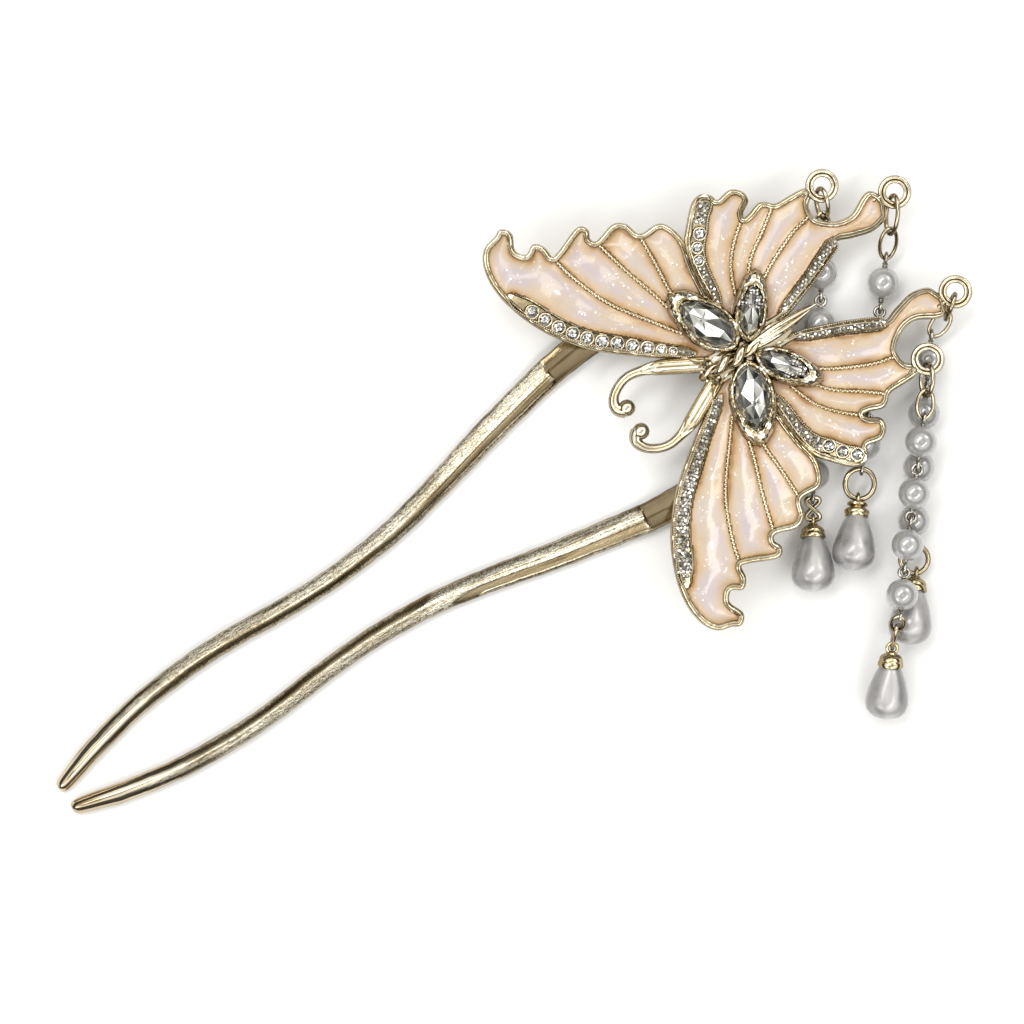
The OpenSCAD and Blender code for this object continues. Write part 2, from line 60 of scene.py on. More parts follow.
# Levels over the underside
FLOOR_T = 0.72
ENAMEL_T = 1.15
UNDER_GLAZE = (1.0, 0.5)
RIM_W = 0.65


def turned(degrees, axis="Z"):
    return Matrix.Rotation(math.radians(degrees), 4, axis)


def shift(x, y=0.0, z=0.0):
    return Matrix.Translation((x, y, z))


PART = Matrix.Identity(4)
HEAD = shift(BEND_X) @ turned(-HEAD_TURN) @ shift(HEAD_AHEAD)


# Lines

def spline(rows, turns, loop=False):
    """A smooth run through rows of numbers, with that many steps a span."""
    p = np.asarray(rows, float)
    n = len(p)
    spans = n if loop else n - 1
    i = np.repeat(np.arange(spans), turns)
    t = np.tile(np.arange(turns) / turns, spans)[:, None]
    a, b, c, d = (p[(i + k) % n if loop else np.clip(i + k, 0, n - 1)] for k in (-1, 0, 1, 2))
    q = 0.5 * (2 * b + (c - a) * t + (2 * a - 5 * b + 4 * c - d) * t ** 2 + (3 * b - a - 3 * c + d) * t ** 3)
    return q if loop else np.vstack([q, p[-1:]])


def lengths(p, loop=False):
    """Distance along a line at each of its points, and at its end."""
    q = np.vstack([p, p[:1]]) if loop else p
    return np.concatenate([[0], np.cumsum(np.linalg.norm(np.diff(q, axis=0), axis=1))])


def even(p, step, loop=False):
    """The same line with points at an even distance of about step."""
    s = lengths(p, loop)
    q = np.vstack([p, p[:1]]) if loop else p
    at = np.linspace(0, s[-1], max(2, round(s[-1] / step)) + 1)
    return np.stack([np.interp(at[:-1] if loop else at, s, column) for column in q.T], 1)


def point_at(p, s):
    """The point at distance s along a line."""
    return np.array([np.interp(s, lengths(p), column) for column in p.T])


def unit(v):
    v = np.asarray(v, float)
    return v / np.maximum(np.linalg.norm(v, axis=-1, keepdims=True), 1e-12)


def directions(p, loop=False):
    if loop:
        return unit(np.roll(p, -1, axis=0) - np.roll(p, 1, axis=0))
    return unit(np.vstack([p[1:2] - p[:1], p[2:] - p[:-2], p[-1:] - p[-2:-1]]))


def side_and_top(p, loop=False):
    """Unit vectors square to a line in space that never runs straight up."""
    t = directions(p, loop)
    side = unit(np.cross([0, 0, 1], t))
    return side, np.cross(t, side)


def left_of(p, loop=False):
    """Flat unit vectors to the left of a flat line."""
    t = directions(p[:, :2], loop)
    return np.stack([-t[:, 1], t[:, 0]], 1)


def longer(line, by):
    """A line that runs on straight at both ends."""
    p = np.asarray(line, float)
    return np.vstack([p[:1] + unit(p[:1] - p[1:2]) * by, p, p[-1:] + unit(p[-1:] - p[-2:-1]) * by])


def around(n, step=0.0):
    """Angles of n even steps round a circle."""
    return (np.arange(n) + step) * 2 * math.pi / n


def ring(r, n, z=0.0, step=0.0):
    """A circle about Z."""
    a = around(n, step)
    return np.stack([r * np.cos(a), r * np.sin(a), np.full(n, z)], 1)


def whole(half):
    """A section from its left half, which ends on the middle."""
    return np.array(half + [(-u, t) for u, t in half[-2::-1]])


# Skins: points and faces

def loft(rings, loop=False):
    """A skin over rings; an open run is closed with a face at each end."""
    rings = np.asarray(rings, float)
    m, n = rings.shape[:2]
    grid = np.arange(m * n).reshape(m, n)
    a = grid if loop else grid[:-1]
    b = np.roll(grid, -1, axis=0) if loop else grid[1:]
    faces = np.stack([a, np.roll(a, -1, axis=1), np.roll(b, -1, axis=1), b], -1).reshape(-1, 4).tolist()
    if not loop:
        faces += [grid[0, ::-1].tolist(), grid[-1].tolist()]
    return rings.reshape(-1, 3), faces


def faceted(rings):
    """A skin of triangles over rings that are each turned half a step against the last."""
    m, n = len(rings), len(rings[0])
    faces = [list(range(n))[::-1], [(m - 1) * n + k for k in range(n)]]
    for i in range(m - 1):
        a, b = i * n, (i + 1) * n
        for k in range(n):
            l = (k + 1) % n
            if i % 2:
                faces += [[a + k, a + l, b + l], [a + k, b + l, b + k]]
            else:
                faces += [[a + k, a + l, b + k], [a + l, b + l, b + k]]
    return np.vstack(rings), faces


def lathe(profile, n=48):
    """A turned skin about X; the profile runs from the axis to the axis: radius, place on X."""
    rings = [ring(r, n, x)[:, ABOUT_X] for r, x in profile]
    closed = profile[0] == profile[-1]
    return loft(rings[:-1] if closed else rings, loop=closed)


def ball(half, n):
    """A turned skin that is the same on both sides of its widest place, where the rows of half end."""
    return lathe(half + [(r, -x) for r, x in half[-2::-1]], n)


def together(parts):
    """Several skins as one."""
    points, faces, start = [], [], 0
    for p, f in parts:
        points.append(p)
        faces += [[k + start for k in face] for face in f]
        start += len(p)
    return np.vstack(points), faces


def mirrored(skin):
    return skin[0] * MIRROR, [face[::-1] for face in skin[1]]


def both(skin):
    return together([skin, mirrored(skin)])


def on_side(side, skin):
    return mirrored(skin) if side == "b" else skin


def set_at(points, m):
    """Points moved by a 4x4 matrix."""
    m = np.array(m)
    return points @ m[:3, :3].T + m[:3, 3]


def moved(skin, m):
    return set_at(skin[0], m), skin[1]


# Pieces

def note(mesh, name, values, domain="POINT"):
    """Writes a value for each point or face onto a mesh."""
    mesh.attributes.new(name, "FLOAT", domain).data.foreach_set("value", np.asarray(values, np.float32))


def shade_facets(mesh, seed):
    """Gives each face of a cut stone a fixed value of its own."""
    note(mesh, "facet", np.random.default_rng(seed).random(len(mesh.polygons)), "FACE")


def outward(mesh):
    """Turns a closed skin's faces outwards and notes how flat it lies: 0 a wall, 1 a top or underside."""
    work = bmesh.new()
    work.from_mesh(mesh)
    bmesh.ops.recalc_face_normals(work, faces=work.faces)
    work.to_mesh(mesh)
    work.free()
    normals = np.empty(len(mesh.vertices) * 3, np.float32)
    mesh.vertex_normals.foreach_get("vector", normals)
    note(mesh, "facing", np.abs(normals[2::3]))


def shown(name, data):
    obj = bpy.data.objects.new(name, data)
    bpy.context.scene.collection.objects.link(obj)
    return obj


def kept(name, mesh, nodes, facets):
    """The object of a finished mesh, riding on the part and standing for those nodes."""
    if facets is not None:
        shade_facets(mesh, facets)
    obj = shown(name, mesh)
    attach(obj, "root")
    if nodes:
        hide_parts(*nodes)


def piece(name, skin, mat, nodes=(), place=HEAD, sharp=40, marks=None, facets=None):
    """A piece from a skin in millimetres; edges over that many degrees stay sharp, with 0 all of them."""
    mesh = bpy.data.meshes.new(name)
    mesh.from_pydata((set_at(skin[0], place) * MM).tolist(), [], skin[1])
    for key, values in (marks or {}).items():
        note(mesh, key, values)
    outward(mesh)
    mesh.polygons.foreach_set("use_smooth", [sharp > 0] * len(mesh.polygons))
    if sharp > 0:
        mesh.set_sharp_from_angle(angle=math.radians(sharp))
    mesh.materials.append(mat)
    kept(name, mesh, nodes, facets)


# Nodes and finishes

WHITE = (1.0, 1.0, 1.0)
EVEN = (1.0, 1.0, 1.0)


def join(tree, node, inputs):
    """Sets a node's inputs; each is a value or another node's output."""
    for key, value in inputs.items():
        if isinstance(value, bpy.types.NodeSocket):
            tree.links.new(value, node.inputs[key])
        else:
            node.inputs[key].default_value = value


def put(tree, kind, inputs=None, **settings):
    """A new node in a tree."""
    node = tree.nodes.new(kind)
    for key, value in settings.items():
        setattr(node, key, value)
    join(tree, node, inputs or {})
    return node


def ramped(tree, fac, stops):
    """Colours along a value: stops are (place, colour)."""
    node = put(tree, "ShaderNodeValToRGB", {"Fac": fac})
    band = node.color_ramp
    while len(band.elements) < len(stops):
        band.elements.new(0.5)
    for element, (place, colour) in zip(band.elements, stops):
        element.position = place
        element.color = (*colour, 1)
    return node.outputs["Color"]


class Finish:
    """A material that is put together round its main shader."""

    def __init__(self, name):
        self.mat = bpy.data.materials.new(name)
        self.mat.use_nodes = True
        self.tree = self.mat.node_tree
        self.tree.nodes.clear()
        self.shader = self.node("BsdfPrincipled")
        self.node("OutputMaterial", {"Surface": self.shader.outputs["BSDF"]})
        self.where = self.node("TexCoord").outputs["Object"]

    def node(self, kind, inputs=None, **settings):
        return put(self.tree, "ShaderNode" + kind, inputs, **settings)

    def done(self, colour, rough, normal=None, **inputs):
        """Sets the main shader; a name's underscores stand for spaces."""
        inputs = {key.replace("_", " "): value for key, value in inputs.items()}
        join(self.tree, self.shader, {"Base Color": colour, "Roughness": rough, **inputs})
        if normal:
            join(self.tree, self.shader, {"Normal": normal})
        return self.mat

    def mark(self, name):
        """A value that the mesh brings along."""
        return self.node("Attribute", attribute_name=name).outputs["Fac"]

    def math(self, operation, a, b):
        return self.node("Math", {0: a, 1: b}, operation=operation).outputs[0]

    def times(self, a, b):
        return self.math("MULTIPLY", a, b)

    def plus(self, a, b):
        return self.math("ADD", a, b)

    def remap(self, value, a, b, c, d):
        """The value taken from the span a to b to the span c to d."""
        spans = {"Value": value, "From Min": a, "From Max": b, "To Min": c, "To Max": d}
        return self.node("MapRange", spans).outputs["Result"]

    def spread(self, value, c, d):
        """A noise's usual span taken to the span c to d."""
        return self.remap(value, 0.3, 0.7, c, d)

    def ramp(self, fac, stops):
        return ramped(self.tree, fac, stops)

    def mix(self, amount, a, b, blend="MIX"):
        values = {"Factor": amount, "A": a, "B": (*b, 1) if isinstance(b, tuple) else b}
        return self.node("Mix", values, data_type="RGBA", blend_type=blend).outputs["Result"]

    def tint(self, amount, a, b):
        """The colour a, tinted with b by that amount."""
        return self.mix(amount, a, b, "MULTIPLY")

    def noise_on(self, place, scale, detail, stretch):
        place = self.node("Mapping", {"Vector": place, "Scale": stretch}).outputs["Vector"]
        return self.node("TexNoise", {"Vector": place, "Scale": scale, "Detail": detail}).outputs["Fac"]

    def noise(self, size, detail, stretch=EVEN):
        """A noise whose features are about size millimetres."""
        return self.noise_on(self.where, 1000.0 / size, detail, stretch)

    def marked_noise(self, marks, scale, detail, stretch=EVEN):
        """A noise laid out on one to three values that the mesh brings along."""
        place = self.node("CombineXYZ", dict(zip("XYZ", map(self.mark, marks)))).outputs[0]
        return self.noise_on(place, scale, detail, stretch)

    def cells(self, size):
        """Cells of about size millimetres."""
        return self.node("TexVoronoi", {"Vector": self.where, "Scale": 1000 / size}).outputs

    def bump(self, height, depth, strength):
        """Relief of that depth in millimetres."""
        values = {"Height": height, "Distance": depth * MM, "Strength": strength}
        return self.node("Bump", values).outputs["Normal"]

    def shaded_sides(self, colour):
        """The colour, deeper on what faces sideways: painted shade on the walls of the metal, which reads as
        dark outlines from above.
        """
        deep = [(0.05, (0.25, 0.20, 0.13)), (0.45, (0.50, 0.44, 0.35)), (0.80, WHITE)]
        return self.tint(1, colour, self.ramp(self.mark("facing"), deep))


def gold(name, light, deep, rough, grain=0.25, depth=0.02, paint_side_shade=True):
    """Plated gold: tone drifts slowly, roughness with it, and the surface has a cast grain."""
    f = Finish(name)
    tone = f.ramp(f.noise(6.0, 3), [(0.3, deep), (0.68, light)])
    fine = f.noise(grain, 4)
    # Unless turned off, what faces sideways gets painted shade.
    return f.done(f.shaded_sides(tone) if paint_side_shade else tone, f.spread(fine, rough * 0.7, rough * 1.5),
                  f.bump(fine, depth, 0.6), Metallic=1)


def pale_gold(name, rough, grain=0.25, depth=0.02):
    return gold(name, (0.81, 0.74, 0.57), (0.60, 0.51, 0.34), rough, grain, depth)


def cut_gold():
    """Plated gold cut in small facets, brown in some and nearly white in others: painted reflections of the
    light each facet catches, and painted shade on the sides.
    """
    f = Finish("gold_cut")
    cut = f.cells(0.62)
    tone = f.ramp(cut["Color"], [
        (0.15, (0.30, 0.23, 0.13)), (0.32, (0.62, 0.53, 0.34)),
        (0.55, (0.80, 0.74, 0.57)), (0.75, (0.93, 0.91, 0.84))])
    rough = f.spread(f.noise(1.0, 2), 0.08, 0.2)
    return f.done(f.shaded_sides(tone), rough, f.bump(cut["Distance"], 0.12, 0.7), Metallic=1)


def fork_gold():
    """Hammered gold with drawn lines, painted shade on one facet and on the sides, plain and darker on the
    flattened bend, warmer at the tips.
    """
    f = Finish("gold_hammered")
    place = f.node("SeparateXYZ", {"Vector": f.where}).outputs["X"]
    worked = f.times(f.remap(place, -50 * MM, -36 * MM, 0, 1), f.remap(place, 33 * MM, 33.6 * MM, 1, 0.12))
    tone = f.ramp(f.noise(7, 4), [
        (0.3, (0.60, 0.54, 0.41)), (0.5, (0.69, 0.64, 0.51)), (0.7, (0.78, 0.74, 0.62))])
    lines = f.ramp(f.marked_noise(("along", "across"), 1.5, 3.0, (0.045, 1.0, 1)), [
        (0.34, (0.32, 0.27, 0.20)), (0.43, (0.70, 0.66, 0.60)), (0.49, (0.97, 0.96, 0.94)), (0.6, WHITE)])
    # Painted shade on one facet of the bar, mostly the one away from the key light, stopping short of its
    # edge
    sides = f.ramp(f.remap(f.mark("painted_shade_side"), -1, 1, 0, 1), [
        (0.55, WHITE), (0.60, (0.38, 0.32, 0.23)), (0.84, (0.46, 0.40, 0.30)), (0.88, WHITE)])
    pebbles = f.ramp(f.noise(0.4, 1), [(0.36, (0.62, 0.59, 0.53)), (0.48, WHITE)])
    bend = f.ramp(f.remap(place, 33 * MM, 34 * MM, 0, 1), [(0.0, WHITE), (1.0, (0.50, 0.42, 0.31))])
    pebbled = f.times(f.remap(sides, 0.4, 1, 0, 1), worked)
    colour = f.tint(0.85, tone, lines)
    for layer, amount in ((bend, 1.0), (sides, worked), (pebbles, pebbled)):
        colour = f.tint(amount, colour, layer)
    # Towards the tips the painted side shade gives way to a warmer tint.
    tips = f.remap(place, -58 * MM, -36 * MM, 0.75, 0)
    side_shaded_colour = f.mix(tips, f.shaded_sides(colour), f.tint(1, colour, (1.0, 0.90, 0.80)))
    sand = f.noise(0.2, 2)
    grain = f.plus(f.plus(sand, f.noise(0.3, 2, (0.3, 1, 1))), f.noise(1.2, 1, (0.4, 1, 1)))
    relief = f.bump(f.times(grain, f.times(sides, worked)), 0.09, 0.45)
    return f.done(side_shaded_colour, f.remap(f.times(sand, worked), 0, 0.7, 0.09, 0.30), relief, Metallic=1)


def enamel_glaze():
    """Peach pearl enamel, deeper at its edges: lilac streaks from the body, cream patches, pale specks,
    painted white flashes of highlight along the rays, and painted shadow next to the crystal cups and the
    body.
    """
    f = Finish("enamel_peach_pearl")
    edge = f.mark("edge")
    share = f.remap(f.plus(edge, f.spread(f.noise(5, 3), -0.5, 0.5)), 0, 3, 0, 1)
    deep = f.ramp(share, [
        (0.0, (0.34, 0.18, 0.06)), (0.10, (0.49, 0.32, 0.15)), (0.26, (0.565, 0.415, 0.26)),
        (0.5, (0.57, 0.45, 0.335)), (0.85, (0.56, 0.47, 0.405))])
    polar = ("ray", "reach")
    streaks = f.marked_noise(polar, 0.16, 4.0)
    middle = f.remap(edge, 0.4, 1.5, 0, 1)
    tinted = f.mix(f.times(f.remap(streaks, 0.43, 0.58, 0, 0.9), middle), deep, (0.52, 0.445, 0.445))
    cream = f.times(f.remap(f.noise(9, 2), 0.5, 0.62, 0, 0.4), middle)
    tinted = f.mix(cream, tinted, (0.62, 0.54, 0.37))
    # Painted shadow of the crystal cups and the body on the enamel beside them
    tinted = f.mix(f.remap(f.mark("web"), 0.1, 1.3, 0.75, 0), tinted, (0.30, 0.16, 0.075))
    clusters = f.remap(f.noise(3.4, 1), 0.46, 0.52, 0, 1)
    dots = f.times(f.remap(f.cells(0.8)["Distance"], 0.16, 0.24, 1, 0), clusters)
    # Painted highlights: white flashes in streaks along the rays, among the specks
    flash = f.times(f.remap(f.marked_noise(polar, 0.7, 5.0), 0.60, 0.68, 0, 0.55), clusters)
    specks_and_painted_flashes = f.times(f.math("MAXIMUM", dots, flash), middle)
    relief = f.bump(f.plus(f.noise(1.3, 3), specks_and_painted_flashes), 0.07, 0.5)
    return f.done(f.mix(specks_and_painted_flashes, tinted, (0.93, 0.90, 0.87)), f.spread(streaks, 0.24, 0.42), relief,
                  Coat_Weight=0.75, Coat_Roughness=0.07, Coat_Normal=relief)


def crystal_glass():
    """Smoky leaf-shaped stone: painted reflections of its back facets, as long streaks from near black to
    near white, different in each facet.
    """
    f = Finish("crystal_smoky")
    depth = f.ramp(f.marked_noise(("along", "across", "facet"), 0.8, 2.0, (0.22, 0.8, 9)), [
        (0.355, (0.05, 0.05, 0.046)), (0.43, (0.13, 0.13, 0.117)), (0.48, (0.33, 0.335, 0.30)),
        (0.57, (0.52, 0.52, 0.48)), (0.62, (0.80, 0.80, 0.76)), (0.71, (0.94, 0.94, 0.92))])
    rough = f.spread(f.noise(1.6, 2), 0.03, 0.10)
    return f.done(depth, rough, Metallic=0.8, Coat_Weight=1, Coat_Roughness=0.01)


def stone_glass(name, stops, rough):
    """Foil-backed cut stone: each facet shows its own depth of the stone as a painted reflection, dark to
    light, under a clear coat.
    """
    f = Finish(name)
    cloud = f.noise(1.6, 2)
    depth = f.ramp(f.plus(f.mark("facet"), f.spread(cloud, -0.06, 0.06)), stops)
    rough = f.spread(cloud, rough, rough * 2)
    return f.done(depth, rough, Metallic=0.85, Coat_Weight=1, Coat_Roughness=0.01)


def pearl_glaze():
    """Frosted bead: light passes a little way in, under a clear glaze."""
    f = Finish("pearl_bead")
    cloud = f.noise(4, 1)
    tone = f.ramp(cloud, [(0.3, (0.35, 0.345, 0.335)), (0.7, (0.41, 0.405, 0.39))])
    return f.done(tone, f.spread(cloud, 0.14, 0.24), Transmission_Weight=0.12, IOR=1.7, Coat_Weight=1,
                  Coat_IOR=2.0, Coat_Roughness=0.03)


def drop_lacquer():
    """Grey pearl lacquer: lighter and darker streaks that run from the cap to the round end, painted
    reflections of long lights.
    """
    f = Finish("pearl_drop_lacquer")
    cloud = f.noise(2.6, 2)
    tone = f.ramp(f.plus(f.marked_noise(("turn",), 0.016, 1.0), f.spread(cloud, -0.08, 0.08)), [
        (0.36, (0.22, 0.215, 0.22)), (0.5, (0.335, 0.325, 0.325)), (0.64, (0.50, 0.49, 0.48))])
    return f.done(tone, f.spread(cloud, 0.26, 0.4), Metallic=0.25, Coat_Weight=0.8, Coat_Roughness=0.08)


# Fork: columns are distance behind the bend centre, half the prongs' spacing, bar width

PRONG = [
    [102.3, 1.75, 1.5], [101.5, 1.9, 2.2], [98.5, 2.75, 2.7], [94.3, 3.9, 3.0], [86.7, 5.4, 3.0],
    [80.0, 6.0, 3.0], [74.6, 6.2, 3.0], [68.6, 6.0, 3.0], [62.4, 5.5, 3.0], [55.7, 5.2, 3.0],
    [49.7, 5.3, 3.1], [41.4, 6.1, 3.3], [32.9, 7.8, 3.6], [24.0, 9.9, 4.0], [15.7, 11.6, 4.2],
    [11.0, 12.5, 4.3], [10.0, 12.7, 4.3], [5.0, 13.2, 4.4],
]
BAR_H, FLAT_H, TIP_H = 2.5, 2.0, 1.5
BEND_W = 4.5
FLAT_FROM = 10.5
TIP_LENGTH, ROUNDED_LENGTH = 6, 22
FORK_STEP = 0.45
HAMMER_DENT = 0.025
# Sections as shares of the width and height; the ridge leans to the inner side
RIDGED = [
    [0.34, 0], [0.46, 0.08], [0.5, 0.28], [0.5, 0.5], [0.46, 0.64], [0.4, 0.71], [0.2, 0.83], [0.02, 0.94],
    [-0.06, 0.985], [-0.11, 1.0], [-0.16, 0.97], [-0.3, 0.84], [-0.42, 0.71], [-0.47, 0.62],
    [-0.5, 0.48], [-0.5, 0.28], [-0.46, 0.08], [-0.34, 0],
]
ROUNDED = [
    [0.3, 0], [0.42, 0.1], [0.48, 0.26], [0.5, 0.42], [0.47, 0.57], [0.41, 0.7], [0.3, 0.82], [0.19, 0.91],
    [0.09, 0.97], [0.0, 1.0], [-0.1, 0.97], [-0.22, 0.9], [-0.34, 0.79], [-0.44, 0.65],
    [-0.5, 0.45], [-0.49, 0.28], [-0.42, 0.1], [-0.3, 0],
]
FLAT = [
    [0.38, 0], [0.46, 0.06], [0.5, 0.22], [0.5, 0.6], [0.48, 0.82], [0.43, 0.93], [0.3, 0.97], [0.1, 1.0],
    [0.0, 1.0], [-0.1, 1.0], [-0.2, 0.99], [-0.3, 0.97], [-0.43, 0.93], [-0.48, 0.82],
    [-0.5, 0.6], [-0.5, 0.22], [-0.46, 0.06], [-0.38, 0],
]


def fork_skin():
    prong = even(spline(PRONG, 10), FORK_STEP)
    steps = [FLAT_FROM + by for by in (0.02, -0.06, -0.2, -0.32)]
    added = [[at] + [np.interp(-at, -prong[:, 0], prong[:, k]) for k in (1, 2)] for at in steps]
    prong = np.vstack([prong, added])
    prong = prong[np.argsort(-prong[:, 0])]
    near = np.stack([BEND_X - prong[:, 0], prong[:, 1], prong[:, 2]], 1)
    arc = np.radians(np.arange(90, -91, -3.0))
    bend = np.stack([BEND_X + BEND_R * np.cos(arc), BEND_R * np.sin(arc), np.full(len(arc), BEND_W)], 1)
    path = np.vstack([near, bend, (near * MIRROR)[::-1]])
    back = BEND_X - path[:, 0]
    flat = np.clip((FLAT_FROM - back) / 0.3, 0, 1)[:, None, None]
    tip = np.clip(1 - (PRONG[0][0] - back) / ROUNDED_LENGTH, 0, 1)[:, None, None] ** 0.7
    from_tip = np.clip((PRONG[0][0] - back) / TIP_LENGTH, 0, 1)
    height = TIP_H + (BAR_H - TIP_H) * np.sqrt(1 - (1 - from_tip) ** 2)
    height = height + (FLAT_H - height) * flat[:, 0, 0]
    shape = np.array(RIDGED)[None] * (1 - tip) + np.array(ROUNDED)[None] * tip
    shape = shape * (1 - flat) + np.array(FLAT)[None] * flat
    run = lengths(path[:, :2])
    hammer = 1 + HAMMER_DENT * np.sin(run * 1.9) * np.sin(run * 0.73 + 1) * (from_tip > 0.99)
    across = shape[..., 0] * (path[:, 2] * hammer)[:, None]
    flat_places = path[:, None, :2] + left_of(path)[:, None] * across[..., None]
    rings = np.concatenate([flat_places, (shape[..., 1] * height[:, None])[..., None]], 2)
    along = np.broadcast_to(run[:, None], across.shape)
    # The facet with painted shade: inner on the first prong; on the second it changes sides on the way
    turning = np.clip((path[:, 0] - 3) / 6, -1, 1)
    painted_shade_side = np.where(path[:, 1] > 0, -1, turning)[:, None] * shape[..., 0] * 2
    return loft(rings), {"along": along.ravel(), "across": across.ravel(), "painted_shade_side": painted_shade_side.ravel()}


fork, fork_marks = fork_skin()
piece("fork_bar", fork, fork_gold(), nodes=["fork"], place=PART, sharp=35, marks=fork_marks)


# Wings: the left pair; the right pair mirrors it

OUTLINES = {wing: spline(rows, 8, True) for wing, rows in {
    "forewing": [
        [-4.3, 1.5], [-7.3, 4.2], [-11.4, 7.3], [-15.6, 10.6], [-18.3, 13.3], [-21.1, 17.0],
        [-22.9, 20.6], [-24.0, 24.1], [-24.3, 27.3], [-23.7, 30.0], [-22.4, 31.6], [-20.6, 32.1],
        [-19.3, 32.6], [-18.3, 31.4], [-19.1, 29.2], [-18.0, 27.8], [-16.4, 28.5], [-15.3, 27.4],
        [-15.0, 25.7], [-13.8, 25.8], [-9.9, 27.3], [-8.7, 26.4], [-9.1, 25.1], [-8.3, 24.3],
        [-5.3, 25.1], [-3.6, 24.2], [-2.6, 22.0], [0.3, 21.9], [1.6, 20.6], [2.2, 18.0],
        [1.5, 14.3], [1.2, 10], [1.2, 1.5],
    ],
    "hindwing": [
        [1.0, 1.5], [1.2, 10], [1.4, 14.0], [2.2, 17.4], [4.1, 19.9], [6.1, 21.9], [7.7, 22.3],
        [8.9, 21.4], [9.4, 20.4], [11.6, 20.7], [13.0, 19.6], [13.1, 18.2], [11.7, 17.2],
        [11.3, 16.3], [12.4, 16.4], [14.1, 17.0], [15.2, 16.6], [16.3, 15.7], [18.7, 15.6],
        [20.5, 15.5], [21.5, 15.1], [21.4, 14.2], [20.2, 13.2], [20.0, 11.3], [21.0, 10.0],
        [22.9, 8.9], [25.0, 8.8], [27.3, 10.0], [28.6, 10.3], [29.4, 9.6], [29.8, 8.3],
        [29.4, 6.9], [28.6, 5.8], [26.3, 5.3], [23.3, 6.0], [21.3, 6.7], [20.4, 5.8],
        [18.6, 4.8], [15.7, 3.5], [12.9, 2.5], [10.0, 1.5], [7.4, 1.0],
    ]}.items()}
VEINS = {
    "forewing": [
        [[-15.0, 26.2], [-14.0, 22.0], [-11.4, 16.0], [-7.3, 10.4], [-4.9, 7.3]],
        [[-8.7, 25.0], [-6.9, 18.6], [-5.3, 14.0], [-3.9, 9.0]],
        [[-2.7, 22.6], [-2.8, 17.0], [-3.0, 13.4], [-2.9, 9.0]],
    ],
    "hindwing": [
        [[11.6, 16.8], [8.6, 14.3], [6.6, 12.0], [5.6, 10.0], [4.8, 7.6]],
        [[16.2, 16.0], [12.9, 13.5], [10.1, 11.6], [8.3, 9.8], [7.0, 7.4]],
        [[20.4, 11.8], [17.1, 11.2], [14.3, 10.1], [11.4, 8.7], [9.3, 7.4], [7.6, 5.8]],
    ]}
# Rows of stones: the line of the stones, the channel's start before it, its widths at both ends, how
# many stones are full-size and how many there are, first and last diameter, how far the channel runs on
Row = namedtuple("Row", "line start wide narrow full count first last beyond")
ROWS = {
    "fore": Row([[-21.4, 20.9], [-19.3, 17.0], [-16.4, 13.3], [-13.0, 10.4], [-9.6, 7.5], [-6.3, 4.9]],
                [[-23.1, 24.3], [-22.5, 22.8]], 2.8, 1.6, 9, 11, 1.9, 1.2, 2.4),
    "outer": Row([[7.5, 21.1], [6.0, 19.7], [4.8, 18.0], [3.3, 16.2], [2.55, 14.2], [2.25, 12.2],
                  [2.1, 10.0]], [[8.2, 22.0]], 2.8, 1.9, 3, 7, 1.805, 1.1, 2.6),
    "inner": Row([[20.0, 6.5], [18.2, 5.7], [15.6, 4.5], [13.0, 3.5], [10.4, 2.5]],
                 [[20.9, 6.9]], 2.2, 1.6, 3, 7, 1.5, 1.1, 2.2),
}
WING_ROWS = {"forewing": ["fore"], "hindwing": ["outer", "inner"]}
STONE_GAP = 0.3
EYELETS = [[23.3, 14.6], [31.8, 8.4]]
EYELET_T = 0.75
# Crystals: middle, turn, length, width
CRYSTALS = {"large": ([-0.9, 6.3], 112, 9.2, 5.2), "small": ([5.3, 4.6], 52, 7.2, 3.4)}
# Sections: share of the half width or distance from the outline inwards, height over the wings' underside
RIM = [
    (0.03, 0.0), (-0.08, 0.2), (-0.13, 0.45), (-0.06, 0.68), (0.1, 0.86), (0.24, 0.92), (0.3, 0.9),
    (0.35, 1.12), (0.42, 1.36), (0.51, 1.47), (0.62, 1.5), (0.74, 1.42), (0.81, 1.24), (0.82, 0.7),
    (0.6, 0.14),
]
CHANNEL = whole([
    (-1.0, 0.4), (-1.0, 1.2), (-0.97, 1.38), (-0.88, 1.45), (-0.79, 1.38), (-0.74, 1.18), (-0.7, 1.08),
    (0, 1.05),
])
# Waves along the rim: height, length, start
RIM_WAVES = [(0.035, 2.7, 0.6), (0.02, 1.3, 0)]
RIM_STEP = 0.2
# The hindwing's plate lies a little over the forewing's where the two meet
PLATE_BOTTOM = {"forewing": 0.05, "hindwing": 0.09}
# Step of the triangles and distance kept from the outline; the start keeps them off its own points
GRID_START = (0.0071, 0.0137)
PLATE_GRID = (0.55, 0.25)
WEB_GRID = (0.3, 0.3)
ENAMEL_GRID = (0.26, 0.32)
WEB_TOP = 1.44
WEB_SLOPE = 1.6
# How high and how far the enamel creeps up the metal, and how deep and how far in it sinks
CREEP = (0.16, 0.22)
SINK = (0.36, 1.5)
VEIN_HALF = 0.2
EYELET_PAD = 2.2
STREAKS_FROM = [1.2, 0.5]


def height(y, t):
    """Height of a surface that lies t above the wings' underside."""
    return WING_Z + WING_R - np.sqrt((WING_R - t) ** 2 - y ** 2)


def above(xy, t):
    """Points in space over flat ones, t above the wings' underside."""
    xy = np.asarray(xy, float)
    return np.concatenate([xy[..., :2], height(xy[..., 1], t)[..., None]], -1)


def underside(y):
    return WING_Z + WING_R * (1 - math.cos(math.asin(abs(y) / WING_R)))


def leaning(at):
    """Matrix to a point of the wings' underside, leaning with it."""
    return shift(at[0], at[1], underside(at[1])) @ Matrix.Rotation(math.asin(at[1] / WING_R), 4, "X")


